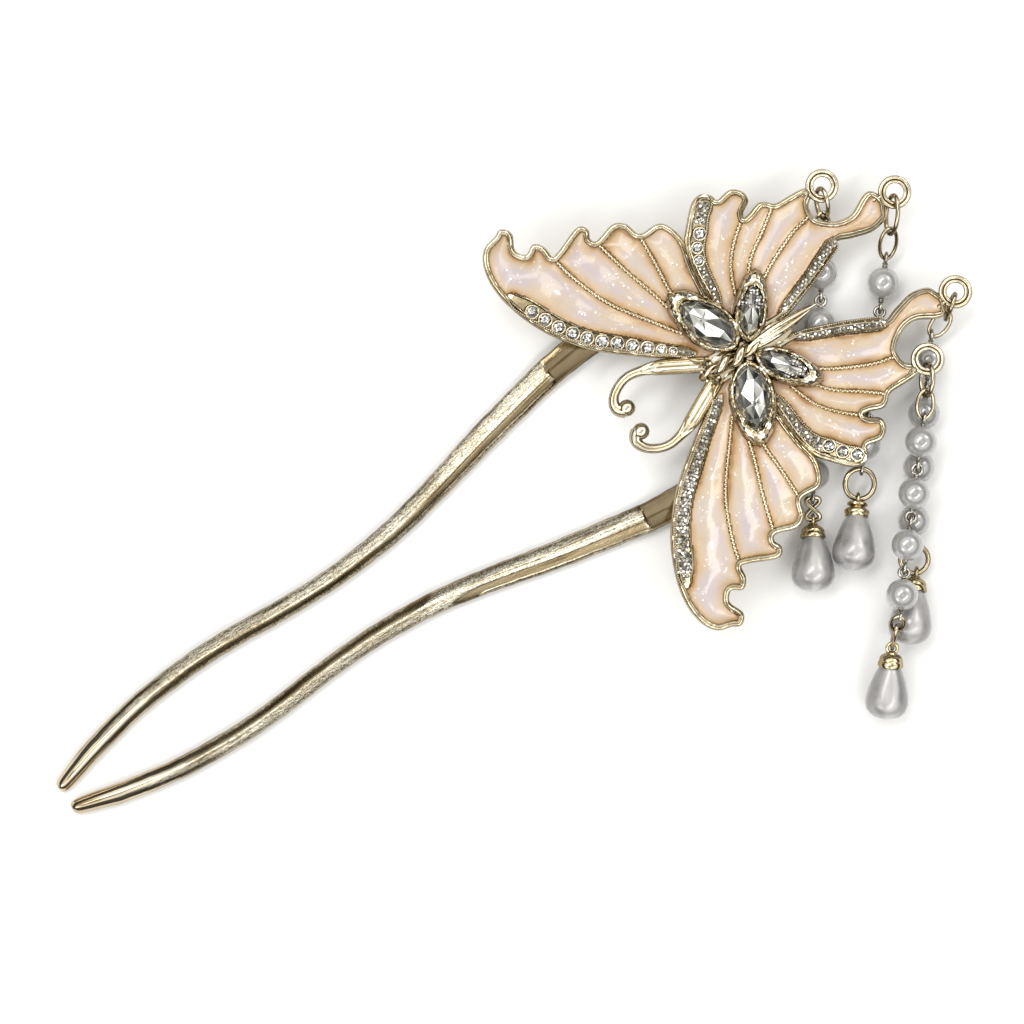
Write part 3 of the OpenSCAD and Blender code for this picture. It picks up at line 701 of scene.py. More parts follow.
def leaf(l, w, n):
    t = around(n)
    y = w / 2 * np.sin(t) * np.abs(np.sin(t)) ** 0.3 * (1 - 0.1 * np.cos(t))
    return np.stack([l / 2 * np.cos(t), y], 1)


def collar_line(l, w, extra, swell, n):
    """Outline of a crystal's cup, fuller at the end away from the body."""
    p = leaf(l + extra, w + extra * 0.8, n)
    p[:, 0] += swell * np.clip(p[:, 0] / l * 2, 0, 1) ** 2
    p[:, 1] *= 1 + 0.06 * swell * np.clip(p[:, 0] / l * 2, -1, 1)
    return p


def distance_to(points, line, widths=0.0, loop=False):
    """Least distance from each point to a line, or to a strip of changing width, negative inside it."""
    half = np.broadcast_to(widths, (len(line),)) / 2
    best = np.full(len(points), 1e9)
    for k in range(len(line) if loop else len(line) - 1):
        after = (k + 1) % len(line)
        d, v = line[after] - line[k], points - line[k]
        t = np.clip(v @ d / max(d @ d, 1e-12), 0, 1)
        strip = half[k] + (half[after] - half[k]) * t
        best = np.minimum(best, np.linalg.norm(v - t[:, None] * d, axis=1) - strip)
    return best


def inside(points, outline):
    odd = np.zeros(len(points), bool)
    x, y = points.T
    for a, b in zip(outline, np.roll(outline, -1, axis=0)):
        if a[1] != b[1]:
            crosses = (y < a[1]) != (y < b[1])
            odd ^= crosses & (x < a[0] + (b[0] - a[0]) * (y - a[1]) / (b[1] - a[1]))
    return odd


def depth_in(points, outline):
    """Distance to the outline, negative outside it."""
    return np.where(inside(points, outline), 1, -1) * distance_to(points, outline, loop=True)


def sides_of(tris):
    return np.vstack([tris[:, [0, 1]], tris[:, [1, 2]], tris[:, [2, 0]]])


def used_only(tris):
    """The points that triangles use, and the triangles counted over them."""
    used, tris = np.unique(tris, return_inverse=True)
    return used, tris.reshape(-1, 3)


def grid_in(outline, step, inset):
    """Even triangles over the inside of an outline, at least inset from it."""
    lo, hi = outline.min(0), outline.max(0)
    down = np.arange(lo[1] + GRID_START[1], hi[1] + step, step * 0.866)
    along = np.arange(lo[0] - step + GRID_START[0], hi[0] + step, step)
    x = along[None] + (np.arange(len(down)) % 2)[:, None] * step / 2
    points = np.stack([x, np.broadcast_to(down[:, None], x.shape)], -1).reshape(-1, 2)
    g = np.arange(len(points)).reshape(x.shape)
    tris = []
    for j in range(len(down) - 1):
        a, b, c, d = g[j, :-1], g[j, 1:], g[j + 1, :-1], g[j + 1, 1:]
        pair = ((a, b, c), (b, d, c)) if j % 2 == 0 else ((a, b, d), (a, d, c))
        tris += [np.stack(t, 1) for t in pair]
    tris = np.vstack(tris)
    tris = tris[(depth_in(points, outline) >= inset)[tris].all(1)]
    knots = np.ones(1, bool)
    while knots.any():
        seen, count = np.unique(np.sort(sides_of(tris), axis=1), axis=0, return_counts=True)
        knots = np.bincount(seen[count == 1].ravel(), minlength=len(points)) > 2
        tris = tris[~knots[tris].any(1)]
    used, tris = used_only(tris)
    return points[used], tris


def slab(flat, tris, top, bottom):
    """Closed skin between two heights over flat triangles."""
    n = len(flat)
    key = {tuple(e) for e in sides_of(tris).tolist()}
    walls = [[a, b, b + n, a + n] for a, b in key if (b, a) not in key]
    faces = tris.tolist() + (tris[:, ::-1] + n).tolist() + walls
    return np.vstack([above(flat, top), above(flat, bottom)]), faces


def band(line, widths, section):
    """Strip along a flat line; the section is (share of the half width, height over the underside)."""
    side = left_of(line)
    half = np.broadcast_to(widths, (len(line),)) / 2
    return loft(np.stack([above(line + side * (half * u)[:, None], t) for u, t in section], 1))


def channel(name):
    """Middle line of a row's channel and its widths, rounded at both ends."""
    row = ROWS[name]
    p = np.asarray(row.line, float)
    path = np.vstack([row.start, p, p[-1:] + unit(p[-1:] - p[-2:-1]) * row.beyond])
    path = even(spline(path, 8), 0.2)
    run = lengths(path)
    ahead = np.linalg.norm(p[0] - row.start[0])
    width = row.wide + (row.narrow - row.wide) * np.linspace(0, 1, len(path))
    start = np.sqrt(1 - np.clip(1 - run / (ahead + 0.2), 0, 0.98) ** 2)
    end = np.sqrt(1 - np.clip(1 - (run[-1] - run) / (row.beyond + 0.4), 0, 0.98) ** 2)
    return path, width * start * end


def vein_line(wing, vein, clear):
    """Middle line of a vein as far as it keeps clear of the wing's outline."""
    path = even(spline(longer(vein, 0.3), 8), 0.25)
    return path[depth_in(path, OUTLINES[wing]) > clear]


def rim_skin(outline):
    """Rolled rim, a little uneven along its way as a cast one is."""
    line = even(outline, RIM_STEP, True)
    inward = left_of(line, True)
    x, y = line.T
    if (x * np.roll(y, -1) - y * np.roll(x, -1)).sum() < 0:
        inward = -inward
    run = lengths(line, True)[:-1]
    swell = sum(rise * np.sin(run * 2 * math.pi / length + start) for rise, length, start in RIM_WAVES)
    rings = []
    for u, t in RIM:
        rise = swell * (t / 1.43) ** 2
        at = line + inward * (u - 0.25 * rise[:, None])
        rings.append(np.concatenate([at, height(at[:, 1], t + rise)[:, None]], 1))
    return loft(np.stack(rings, 1), True)


def web_gap(points):
    """Distance to the metal that joins the body and the crystal settings, negative over it."""
    gaps = [np.abs(points[:, 1]) - 2.1]
    for at, turn, l, w in CRYSTALS.values():
        c, s = math.cos(math.radians(turn)), math.sin(math.radians(turn))
        gaps.append(-depth_in(points, collar_line(l, w, 1.5, 1.2, 32) @ [[c, s], [-s, c]] + at))
    return np.min(gaps, axis=0)


def web_skin(wing):
    """Metal round the settings and the body, sinking under the enamel at its edge."""
    flat, tris = grid_in(OUTLINES[wing], *WEB_GRID)
    gap = web_gap(flat)
    used, tris = used_only(tris[(gap < 0.5)[tris].any(1)])
    flat, gap = flat[used], gap[used]
    points, faces = slab(flat, tris, *UNDER_GLAZE)
    points[:len(flat), 2] = height(flat[:, 1], WEB_TOP - WEB_SLOPE * np.maximum(gap, 0))
    return points, faces


def plate_skin(wing):
    return slab(*grid_in(OUTLINES[wing], *PLATE_GRID), FLOOR_T, PLATE_BOTTOM[wing])


def metal_gap(points, wing):
    """How far each point of a wing lies inside its enamel cell, negative under the metal."""
    gaps = [depth_in(points, OUTLINES[wing]) - RIM_W, web_gap(points)]
    gaps += [distance_to(points, vein_line(wing, vein, 0.4)) - VEIN_HALF for vein in VEINS[wing]]
    gaps += [distance_to(points, *channel(name)) for name in WING_ROWS[wing]]
    gaps += [np.linalg.norm(points - at, axis=1) - EYELET_PAD for at in EYELETS]
    return np.min(gaps, axis=0)


def enamel_skin(wing):
    """Filling that creeps up the metal round it and sinks a little in the middle of its cells."""
    flat, tris = grid_in(OUTLINES[wing], *ENAMEL_GRID)
    x, y = flat.T
    gap = metal_gap(flat, wing)
    d = np.maximum(gap, 0)
    ripple = 0.05 * np.sin(x * 0.9 + y * 0.35) + 0.04 * np.sin(y * 1.1 - x * 0.4)
    creep = CREEP[0] * np.exp(-d / CREEP[1])
    sink = SINK[0] * (1 - np.exp(-(d / SINK[1]) ** 2))
    top = ENAMEL_T + creep - sink + ripple * np.minimum(d, 1)
    points, faces = slab(flat, tris, *UNDER_GLAZE)
    points[:len(flat), 2] = height(y, np.where(gap < 0, ENAMEL_T - 0.25, top))
    out = flat - STREAKS_FROM
    ray = np.degrees(np.arctan2(out[:, 1], out[:, 0]))
    marks = {"edge": gap, "ray": ray, "reach": np.linalg.norm(out, axis=1), "web": web_gap(flat)}
    return (points, faces), {key: np.tile(values, 2) for key, values in marks.items()}


gold_cast = pale_gold("gold_cast", 0.14)
gold_bright = pale_gold("gold_bright", 0.08, 0.4, 0.008)
gold_grain = gold("gold_grain", (0.86, 0.78, 0.60), (0.66, 0.56, 0.37), 0.14, 0.3, 0.008, paint_side_shade=False)
gold_wire = gold("gold_wire", (0.64, 0.56, 0.41), (0.40, 0.33, 0.21), 0.10, 0.3, 0.008)
grey_wire = gold("grey_wire", (0.60, 0.58, 0.52), (0.30, 0.28, 0.24), 0.10, 0.3, 0.008)
glaze = enamel_glaze()

frame_parts = []
for wing, outline in OUTLINES.items():
    frame_parts += [plate_skin(wing), rim_skin(outline), web_skin(wing)]
frame_parts += [band(*channel(name), CHANNEL) for name in ROWS]
piece("wing_frames", both(together(frame_parts)), gold_cast, nodes=["butterfly_frame"])
for side in "ab":
    for wing in OUTLINES:
        skin, marks = enamel_skin(wing)
        node = f"enamel_{wing}_{side}"
        piece(node + "_glaze", on_side(side, skin), glaze, [node], sharp=60, marks=marks)


# What repeats along a line or over a field

def geometry_group(name, sockets, *kinds):
    """A group with named inputs and nodes joined from geometry to geometry, which ends in Set Material."""
    tree = bpy.data.node_groups.new(name, "GeometryNodeTree")
    for label, kind in {"Geometry": "Geometry", **sockets, "Material": "Material"}.items():
        tree.interface.new_socket(label, in_out="INPUT", socket_type="NodeSocket" + kind)
    tree.interface.new_socket("Geometry", in_out="OUTPUT", socket_type="NodeSocketGeometry")
    given = put(tree, "NodeGroupInput").outputs
    end, run = given["Geometry"], []
    for kind in (*kinds, "SetMaterial"):
        run.append(put(tree, "GeometryNode" + kind))
        tree.links.new(end, next(s for s in run[-1].inputs if s.type == "GEOMETRY"))
        end = next(s for s in run[-1].outputs if s.type == "GEOMETRY")
    join(tree, run[-1], {"Material": given["Material"]})
    put(tree, "NodeGroupOutput", {"Geometry": end})
    return tree, given, run


def own_size(tree):
    """The size that each point brings along."""
    node = put(tree, "GeometryNodeInputNamedAttribute", {"Name": "size"}, data_type="FLOAT")
    return node.outputs["Attribute"]


def bead_group():
    """Beads at an even spacing along lines of edges."""
    tree, given, (_, spaced, placed, *_) = geometry_group(
        "beads_on_line", {"Spacing": "Float", "Radius": "Float"},
        "MeshToCurve", "ResampleCurve", "InstanceOnPoints", "RealizeInstances", "SetShadeSmooth")
    bead = put(tree, "GeometryNodeMeshUVSphere", {"Segments": 8, "Rings": 5, "Radius": given["Radius"]})
    spaced.mode = "LENGTH"
    join(tree, spaced, {"Length": given["Spacing"]})
    join(tree, placed, {"Instance": bead.outputs["Mesh"]})
    return tree


def wire_group():
    """Round wire along lines of edges, closed where a line is, as thick as each point says."""
    tree, given, (_, swept, *_) = geometry_group(
        "wire_on_lines", {"Sides": "Int"}, "MeshToCurve", "CurveToMesh", "RealizeInstances", "SetShadeSmooth")
    section = put(tree, "GeometryNodeCurvePrimitiveCircle", {"Radius": 1, "Resolution": given["Sides"]})
    join(tree, swept, {"Scale": own_size(tree), "Profile Curve": section.outputs["Curve"], "Fill Caps": True})
    return tree


PAVE_CUT = {"Vertices": 7, "Radius Top": 0.27, "Radius Bottom": 0.5, "Depth": 0.34}


def pave_group():
    """Small cut stones on points, each tipped a little by chance and sized by the point's own size."""
    tree, given, (placed, *_) = geometry_group(
        "stones_on_points", {"Tilt": "Float", "Seed": "Int"}, "InstanceOnPoints", "RealizeInstances")
    cut = put(tree, "GeometryNodeMeshCone", PAVE_CUT)
    opposite = put(tree, "ShaderNodeMath", {0: given["Tilt"], 1: -1}, operation="MULTIPLY")
    tip = put(tree, "FunctionNodeRandomValue", data_type="FLOAT_VECTOR")
    join(tree, tip, {"Min": opposite.outputs[0], "Max": given["Tilt"], "Seed": given["Seed"]})
    join(tree, placed, {"Instance": cut.outputs["Mesh"], "Rotation": tip.outputs["Value"],
                        "Scale": own_size(tree)})
    return tree


BEADS = bead_group()
PAVE = pave_group()
WIRES = wire_group()


def grown(name, tree, points, edges, values, nodes=(), sizes=None, facets=None):
    """A piece that a geometry group makes from points and edges, kept as a plain mesh."""
    seed = bpy.data.meshes.new(name + "_line")
    seed.from_pydata((set_at(np.asarray(points), HEAD) * MM).tolist(), edges, [])
    if sizes is not None:
        note(seed, "size", np.asarray(sizes, np.float32) * MM)
    holder = shown(name + "_line", seed)
    grower = holder.modifiers.new(name, "NODES")
    grower.node_group = tree
    for item in tree.interface.items_tree:
        if item.in_out == "INPUT" and item.name in values:
            grower[item.identifier] = values[item.name]
    mesh = bpy.data.meshes.new_from_object(holder.evaluated_get(bpy.context.evaluated_depsgraph_get()))
    bpy.data.objects.remove(holder)
    outward(mesh)
    kept(name, mesh, nodes, facets)


def strung(lines):
    """Points, edges and radii of lines; a line is its points, a radius and whether it is closed."""
    points, edges, radii = [], [], []
    for line, radius, loop in lines:
        first, last = len(points), len(points) + len(line) - 1
        edges += [(k, k + 1) for k in range(first, last)] + [(last, first)] * loop
        points += list(line)
        radii += list(np.broadcast_to(radius, (len(line),)))
    return points, edges, radii


def wires(name, lines, mat, nodes=(), sides=10):
    points, edges, radii = strung(lines)
    grown(name, WIRES, points, edges, {"Sides": sides, "Material": mat}, nodes, radii)


def beads(name, lines, radius, spacing, mat):
    points, edges, _ = strung(with_mirrored([(line, radius, False) for line in lines], True))
    values = {"Spacing": spacing * MM, "Radius": radius * MM, "Material": mat}
    grown(name, BEADS, points, edges, values)


def with_mirrored(lines, by_turns=False):
    """Lines and their mirror images, which come last or right after each line."""
    images = [(line * MIRROR, wire, loop) for line, wire, loop in lines]
    return [line for pair in zip(lines, images) for line in pair] if by_turns else lines + images


def shifted(line, by):
    """A flat line moved to its left."""
    return line + left_of(line) * np.asarray(by).reshape(-1, 1)


# Stones, their rims and grains

STONE_CUT = [(0.3, 0.02), (0.48, 0.24), (0.48, 0.32), (0.4, 0.43), (0.26, 0.5), (0.13, 0.46), (0.02, 0.49)]
STONE_SIDES = 8
SEAT_T = 0.86
RIM_WIRE, RIM_WIRE_T = 0.13, 1.36
FINE_STONE = 0.62
FINE_PITCH = 0.52
FINE_CLEAR = 0.28
# The dark floor, painted shade under the fine stones: its share of the channel's width, and its section
FLOOR_SHARE = 0.69
FLOOR = whole([(-1, 1.0), (-1, 1.11), (0, 1.1)])
# The fine stones on the small crystals: pitch, diameter, height in the middle
COVER_PITCH, COVER_STONE, COVER_T = 0.46, 0.54, 3.95
VEIN_RIB, VEIN_RIB_T = 0.24, 1.1
# Radius, spacing and height of the grains
VEIN_GRAIN, VEIN_GRAIN_PITCH, VEIN_GRAIN_T = 0.27, 0.60, 1.3
EDGE_GRAIN, EDGE_GRAIN_PITCH, EDGE_GRAIN_T = 0.15, 0.33, 1.52
# Seeds of the values of the stones' facets, which the stone finishes turn into painted reflections
FACET_SEEDS = {
    "forewing": 3, "hindwing": 5, "pave": 7, "large_a": 11, "large_b": 12, "small_a": 13, "small_b": 14}

# Tones of the facets from dark to light: painted reflections of the cut stones
clear_stone = stone_glass("rhinestone_clear", [
    (0.0, (0.035, 0.032, 0.028)), (0.35, (0.20, 0.19, 0.17)), (0.55, (0.46, 0.45, 0.42)),
    (0.8, (0.88, 0.88, 0.85)), (1.0, (0.96, 0.96, 0.94))], 0.04)
fine_stone = stone_glass("rhinestone_fine", [
    (0.0, (0.08, 0.07, 0.055)), (0.3, (0.27, 0.25, 0.21)), (0.5, (0.60, 0.58, 0.53)),
    (0.75, (0.93, 0.93, 0.90)), (1.0, (0.97, 0.97, 0.96))], 0.05)
smoky_stone = crystal_glass()


def row_stones(name, least=0.0):
    """Places and diameters of the stones in a row."""
    row = ROWS[name]
    line = spline(row.line, 4)
    shrink = (row.last - row.first, row.count - row.full)
    s, before, found = 0.0, None, []
    for i in range(row.count):
        d = row.first if i < row.full else row.first + shrink[0] * (i - row.full + 1) / shrink[1]
        s += (before + d) / 2 + STONE_GAP if i else 0
        found.append((point_at(line, s), max(d, least)))
        before = d
    return found


def set_stones(row):
    stones = []
    for at, d in row:
        d = d * 0.98
        rings = [ring(r * d, STONE_SIDES, z * d, 0.5 * (i % 2)) for i, (r, z) in enumerate(STONE_CUT)]
        stones.append(moved(faceted(rings), leaning(at) @ shift(0, 0, SEAT_T)))
    return together(stones)


def ring_at(at, r, wire, t, n=28):
    """A wire ring that lies t above the wings' underside."""
    return set_at(ring(r, n, t), leaning(at)), wire, True


def field(line, w0, w1, pitch):
    """Even flat points over a strip."""
    line = even(line, pitch)
    side = left_of(line)
    found = []
    for row in range(len(line)):
        width = w0 + (w1 - w0) * row / (len(line) - 1)
        count = max(1, int(width / pitch))
        spread = (np.arange(count) - (count - 1) / 2) * pitch + pitch * (0.25 if row % 2 else -0.25)
        found += [line[row] + side[row] * s for s in spread if abs(s) < width / 2]
    return found


def fine_stones(line, w0, w1, pitch, t, d, ways, round_ones=()):
    """Fine stones over a strip of a wing, left out where round ones sit."""
    return [(above(at * [1, way], t), d) for at in field(line, w0, w1, pitch) for way in ways
            if all(np.linalg.norm(at - middle) > size / 2 + FINE_CLEAR for middle, size in round_ones)]


# Round stones: the whole leading row on the left, and three in each outer row; fine stones fill the rest
fore_row = row_stones("fore")
outer_row = row_stones("outer", 1.6)
rims = [ring_at(at, d * 0.5, RIM_WIRE, RIM_WIRE_T) for at, d in fore_row]
pave = []
piece("rhinestones_forewing_a", set_stones(fore_row), clear_stone, ["stones_forewing_a"],
      sharp=0, facets=FACET_SEEDS["forewing"])
for side, way, row in (("a", 1, outer_row[2:5]), ("b", -1, outer_row[:3])):
    piece("rhinestones_hindwing_" + side, on_side(side, set_stones(row)), clear_stone,
          ["stones_hindwing_" + side], sharp=0, facets=FACET_SEEDS["hindwing"])
    for at, d in row:
        line, *rest = ring_at(at, d * 0.5, RIM_WIRE, RIM_WIRE_T)
        rims.append((line * [1, way, 1], *rest))
    pave += fine_stones(spline(ROWS["outer"].line, 6), 2.1, 1.3, 0.56, 1.2, 0.64, (way,), row)
wires("stone_rims", rims, gold_bright, sides=8)

floors = []
for name in ROWS:
    path, width = channel(name)
    floors.append(band(path[3:-3], width[3:-3] * FLOOR_SHARE, FLOOR))
# A dark strip in each channel: painted shade under and between the fine stones
shaded = gold("gold_shaded", (0.40, 0.33, 0.21), (0.14, 0.11, 0.06), 0.2, 0.5)
piece("row_floors", both(together(floors)), shaded)

# Fine stones: the whole leading row on the right, the inner rows and the narrow ends
leading = spline(longer(ROWS["fore"].line, 1.5), 6)
inner = spline(longer(ROWS["inner"].line, 0.8), 6)
corner = np.array([[-22.75, 23.3], [-22.2, 22.2]])
pave += fine_stones(leading, 2.2, 1.1, FINE_PITCH, 1.24, FINE_STONE, (-1,))
pave += fine_stones(corner, 1.0, 1.9, FINE_PITCH, 1.24, 0.6, (-1,))
pave += fine_stones(inner, 1.5, 1.1, FINE_PITCH, 1.22, FINE_STONE, (1, -1))
for name, row in ROWS.items():
    path, width = channel(name)
    run = lengths(path)
    first, ways = (0.0, (1,)) if name == "fore" else (0.6, (1, -1))
    for s in np.arange(run[-1] - row.beyond + first, run[-1] - 0.2, FINE_STONE):
        at = point_at(path, s)
        d = min(FINE_STONE, float(np.interp(s, run, width)) * 0.6)
        pave += [(above(at * [1, way], 1.2), d) for way in ways]
# And over the outer half of each small crystal
at, turn, l, w = CRYSTALS["small"]
for x in np.arange(0.7, l / 2 - 0.3, COVER_PITCH):
    for y in np.arange(-1.38, 1.4, COVER_PITCH):
        if abs(y) < w / 2 * (1 - (x / (l / 2)) ** 2) ** 0.65 - 0.2:
            p = set_at(np.array([x, y, COVER_T - 0.22 * x - 0.25 * y * y]), leaning(at) @ turned(turn))
            pave += [(p, COVER_STONE), (p * MIRROR, COVER_STONE)]
grown("pave_stones", PAVE, [p for p, _ in pave], [], {"Tilt": 0.4, "Seed": 4, "Material": fine_stone},
      ["stones_forewing_b"], [d for _, d in pave], facets=FACET_SEEDS["pave"])

# Ribs with grains on the veins, and finer grains along the channels
vein_lines, fine_lines, ribs = [], [], []
for wing, veins in VEINS.items():
    for vein in veins:
        ribs.append((above(vein_line(wing, vein, 0.55), VEIN_RIB_T), VEIN_RIB, False))
        vein_lines.append(above(shifted(vein_line(wing, vein, 0.8), -0.1), VEIN_GRAIN_T))
for name in ROWS:
    middle, width = channel(name)
    edge = -0.44 if name == "fore" else 0.44
    fine_lines.append(above(shifted(middle, edge * width), EDGE_GRAIN_T)[2:-2])
wires("vein_ribs", with_mirrored(ribs), gold_cast)
beads("vein_grains", vein_lines, VEIN_GRAIN, VEIN_GRAIN_PITCH, gold_grain)
beads("channel_grains", fine_lines, EDGE_GRAIN, EDGE_GRAIN_PITCH, gold_bright)


# Crystal settings and crystals

# Cup walls: width beyond the stone, swell at the outer end, height
COLLAR = [
    (2.2, 1.6, 0.6), (2.1, 1.45, 1.6), (1.95, 1.25, 2.25), (1.7, 1.0, 2.64), (1.4, 0.75, 2.88),
    (1.1, 0.5, 3.0), (0.9, 0.45, 3.06), (0.72, 0.4, 2.94), (0.6, 0.36, 2.94), (0.42, 0.3, 3.1),
    (0.24, 0.2, 3.02), (0.1, 0.1, 2.5), (0.1, 0.05, 1.7),
]
COLLAR_N = 96
LEAF_CUT = [(0.6, 0.0), (1.0, 0.85), (1.0, 1.02), (0.66, 1.86), (0.1, 2.3)]
LEAF_N = 8
LEAF_LIFT = 1.68
CLAW_AT = (0, 180, 62, 118, -62, -118)
CLAW_T = 3.05


def setting(at, turn, lift=0.0):
    return leaning(at) @ shift(0, 0, lift) @ turned(turn)


def collar_skin(at, turn, l, w):
    rings = []
    for extra, swell, t in COLLAR:
        p = collar_line(l, w, extra, swell, COLLAR_N)
        p *= 1 + 0.012 * np.cos(np.arange(COLLAR_N) * math.pi / 3)[:, None] * np.clip(extra - 0.9, 0, 1)
        rings.append(np.concatenate([p, np.full((COLLAR_N, 1), t)], 1))
    return moved(loft(rings), setting(at, turn))


def claws(at, turn, l, w):
    out = []
    for a in map(math.radians, CLAW_AT):
        x = (l / 2 + 0.1) * math.cos(a)
        y = (w / 2 + 0.1) * math.sin(a) * abs(math.sin(a)) ** 0.3
        claw = ball([(0.0, -0.24), (0.16, -0.17), (0.23, 0)], 10)
        out.append(moved(claw, setting(at, turn) @ shift(x, y, CLAW_T)))
    return together(out)


def crystal_skin(at, turn, l, w):
    rings = []
    for i, (share, z) in enumerate(LEAF_CUT):
        dense = leaf(l - 0.1, w - 0.1, LEAF_N * 2) * share + [l * 0.12 * (1 - share) * (z > 1.2), 0]
        rings.append(np.concatenate([dense[(i % 2)::2], np.full((LEAF_N, 1), z)], 1))
    flat = np.vstack(rings)
    return moved(faceted(rings), setting(at, turn, LEAF_LIFT)), {"along": flat[:, 0], "across": flat[:, 1]}


for size, row in CRYSTALS.items():
    for side in "ab":
        skin, marks = crystal_skin(*row)
        which = f"{size}_{side}"
        piece(f"crystal_{which}_cut", on_side(side, skin), smoky_stone, ["crystal_" + which],
              sharp=0, marks=marks, facets=FACET_SEEDS[which])
piece("crystal_collars", both(together([collar_skin(*row) for row in CRYSTALS.values()])), cut_gold())
piece("crystal_claws", both(together([claws(*row) for row in CRYSTALS.values()])), gold_bright)


# Body, antennae, eyelets, seat

# Core of the body: place, half width, lowest and highest level
CORE = [
    [-5.7, 0.3, 5.5, 6.2], [-5.0, 0.8, 5.2, 6.7], [-3.8, 1.1, 5.1, 6.9], [-1.2, 1.0, 5.1, 6.9],
    [1.6, 1.0, 5.1, 7.0], [3.6, 0.7, 5.2, 6.8],
]
CORE_SIDES = 24
# The two long bars of the tail: bow to the side, far end, radius
TAIL_BARS = [(0.42, 14.1, 0.62), (-0.38, 12.9, 0.6)]
# Grains at the body's sides
BODY_GRAINS = [(-3.5, 1.15), (2.4, 1.35)]
# Antenna: place and half width; its sections are shares of that: two rails with a floor between, and
# round with a crease
ANTENNA = [
    [-3.6, 1.2, 0.84], [-7.1, 3.0, 0.82], [-10.0, 4.5, 0.8], [-12.1, 5.3, 0.72], [-14.3, 5.7, 0.68],
    [-16.1, 5.3, 0.68], [-17.6, 4.3, 0.72], [-18.25, 3.1, 0.84], [-18.0, 2.3, 1.0], [-17.35, 1.85, 1.15],
]
RAILS = whole([
    (0.5, -0.42), (0.95, -0.3), (1.06, 0.0), (1.0, 0.3), (0.84, 0.44), (0.68, 0.26), (0.6, -0.1),
    (0.3, -0.12), (0.0, 0.1),
])
CREASED = whole([
    (0.4, -0.92), (0.82, -0.6), (1.0, -0.1), (0.94, 0.36), (0.76, 0.66), (0.5, 0.86), (0.3, 0.94),
    (0.14, 0.86), (0.0, 0.72),
])
ANTENNA_Z = 6.05
ANTENNA_STEP = 0.2
TWIST_STEPS, TWIST_SIDES = 90, 30
# Half the seat's arc on the bend and the places of its rivets, in degrees
SEAT_ARC = 24
RIVETS_AT = (-15, 15)


def twisted(path, radius, lobes, depth, twist):
    """Rope-like tapered bar: a lobed section that turns on its way; twist is in turns."""
    side, top = side_and_top(path)
    a = around(TWIST_SIDES)
    rings = []
    for k, at in enumerate(path):
        turn = twist * 2 * math.pi * k / (len(path) - 1)
        r = radius[k] * (1 - depth + depth * np.abs(np.cos((a - turn) * lobes / 2)) ** 0.8)
        rings.append(at + side[k] * (r * np.cos(a))[:, None] + top[k] * (r * np.sin(a))[:, None])
    return loft(rings)


def taper(blunt):
    """Radius shares of a bar that narrows at both ends."""
    return np.maximum(np.sin(np.linspace(0.04, math.pi - 0.04, TWIST_STEPS)) ** blunt, 0.12)


def body_skins():
    """Core, two strands wound round it, two long tail bars, side grains, head and eyes."""
    a = around(CORE_SIDES)
    rings = []
    for x, half, low, high in spline(CORE, 6):
        z = (low + high) / 2 + (high - low) / 2 * np.sin(a)
        rings.append(np.stack([np.full(CORE_SIDES, x), half * np.cos(a), z], 1))
    parts = [loft(rings)]
    s = np.linspace(0, 1, TWIST_STEPS)
    for k in range(2):
        angle = 2 * math.pi * (1.6 * s + k / 2)
        swing = 0.72 * taper(0.5) * np.sin(angle)
        path = np.stack([-5.2 + 9.4 * s, swing, 7.05 + 0.3 * np.sin(math.pi * s) + 0.5 * np.cos(angle)], 1)
        parts.append(twisted(path, (0.56 + 0.16 * np.cos(angle)) * taper(0.5), 2, 0.12, 0.8))
    for y, end, r in TAIL_BARS:
        bow = np.sin(math.pi * s)
        x = 1.2 + (end - 1.2) * s
        path = np.stack([x, 0.45 * s + y * (0.2 + 0.9 * bow), 7.3 + 0.35 * bow - 1.1 * s], 1)
        parts.append(twisted(path, r * taper(0.6), 3, 0.3, 0.35))
    grain = ball([(0, -0.36), (0.26, -0.26), (0.36, 0)], 12)
    head = lathe([(0, -1.0), (0.4, -0.75), (0.8, -0.1), (0.8, 0.1), (0.4, 0.7), (0, 0.95)], 4)
    eye = ball([(0, -0.34), (0.26, -0.22), (0.34, 0)], 12)
    parts += [moved(grain, shift(x, y * way, 6.85)) for x, y in BODY_GRAINS for way in (1, -1)]
    parts.append(moved(head, shift(-5.1, 0, 6.9)))
    return together(parts + [moved(eye, shift(-5.2, y, 7.0)) for y in (-0.75, 0.75)])


def antenna_skin():
    run = even(spline(ANTENNA, 8), ANTENNA_STEP)
    share = np.clip((np.arange(len(run)) * ANTENNA_STEP - 6.5) / 4, 0, 1)
    round_off = (share ** 2 * (3 - 2 * share))[:, None, None]
    shape = RAILS[None] * (1 - round_off) + CREASED[None] * round_off
    half = run[:, 2] * (1.0 + 0.35 * (1 - round_off[:, 0, 0]))
    flat = run[:, None, :2] + left_of(run)[:, None] * (shape[..., 0] * half[:, None])[..., None]
    rings = np.concatenate([flat, (ANTENNA_Z + shape[..., 1] * half[:, None])[..., None]], 2)
    knob = ball([(0, -1.25), (0.6, -1.12), (1.05, -0.7), (1.25, 0)], 28)
    foot = ball([(0, -0.8), (0.5, -0.6), (0.85, 0)], 16)
    return together([loft(rings), moved(knob, shift(-16.95, 1.95, 6.1)), moved(foot, shift(-3.9, 1.35, 6.2))])


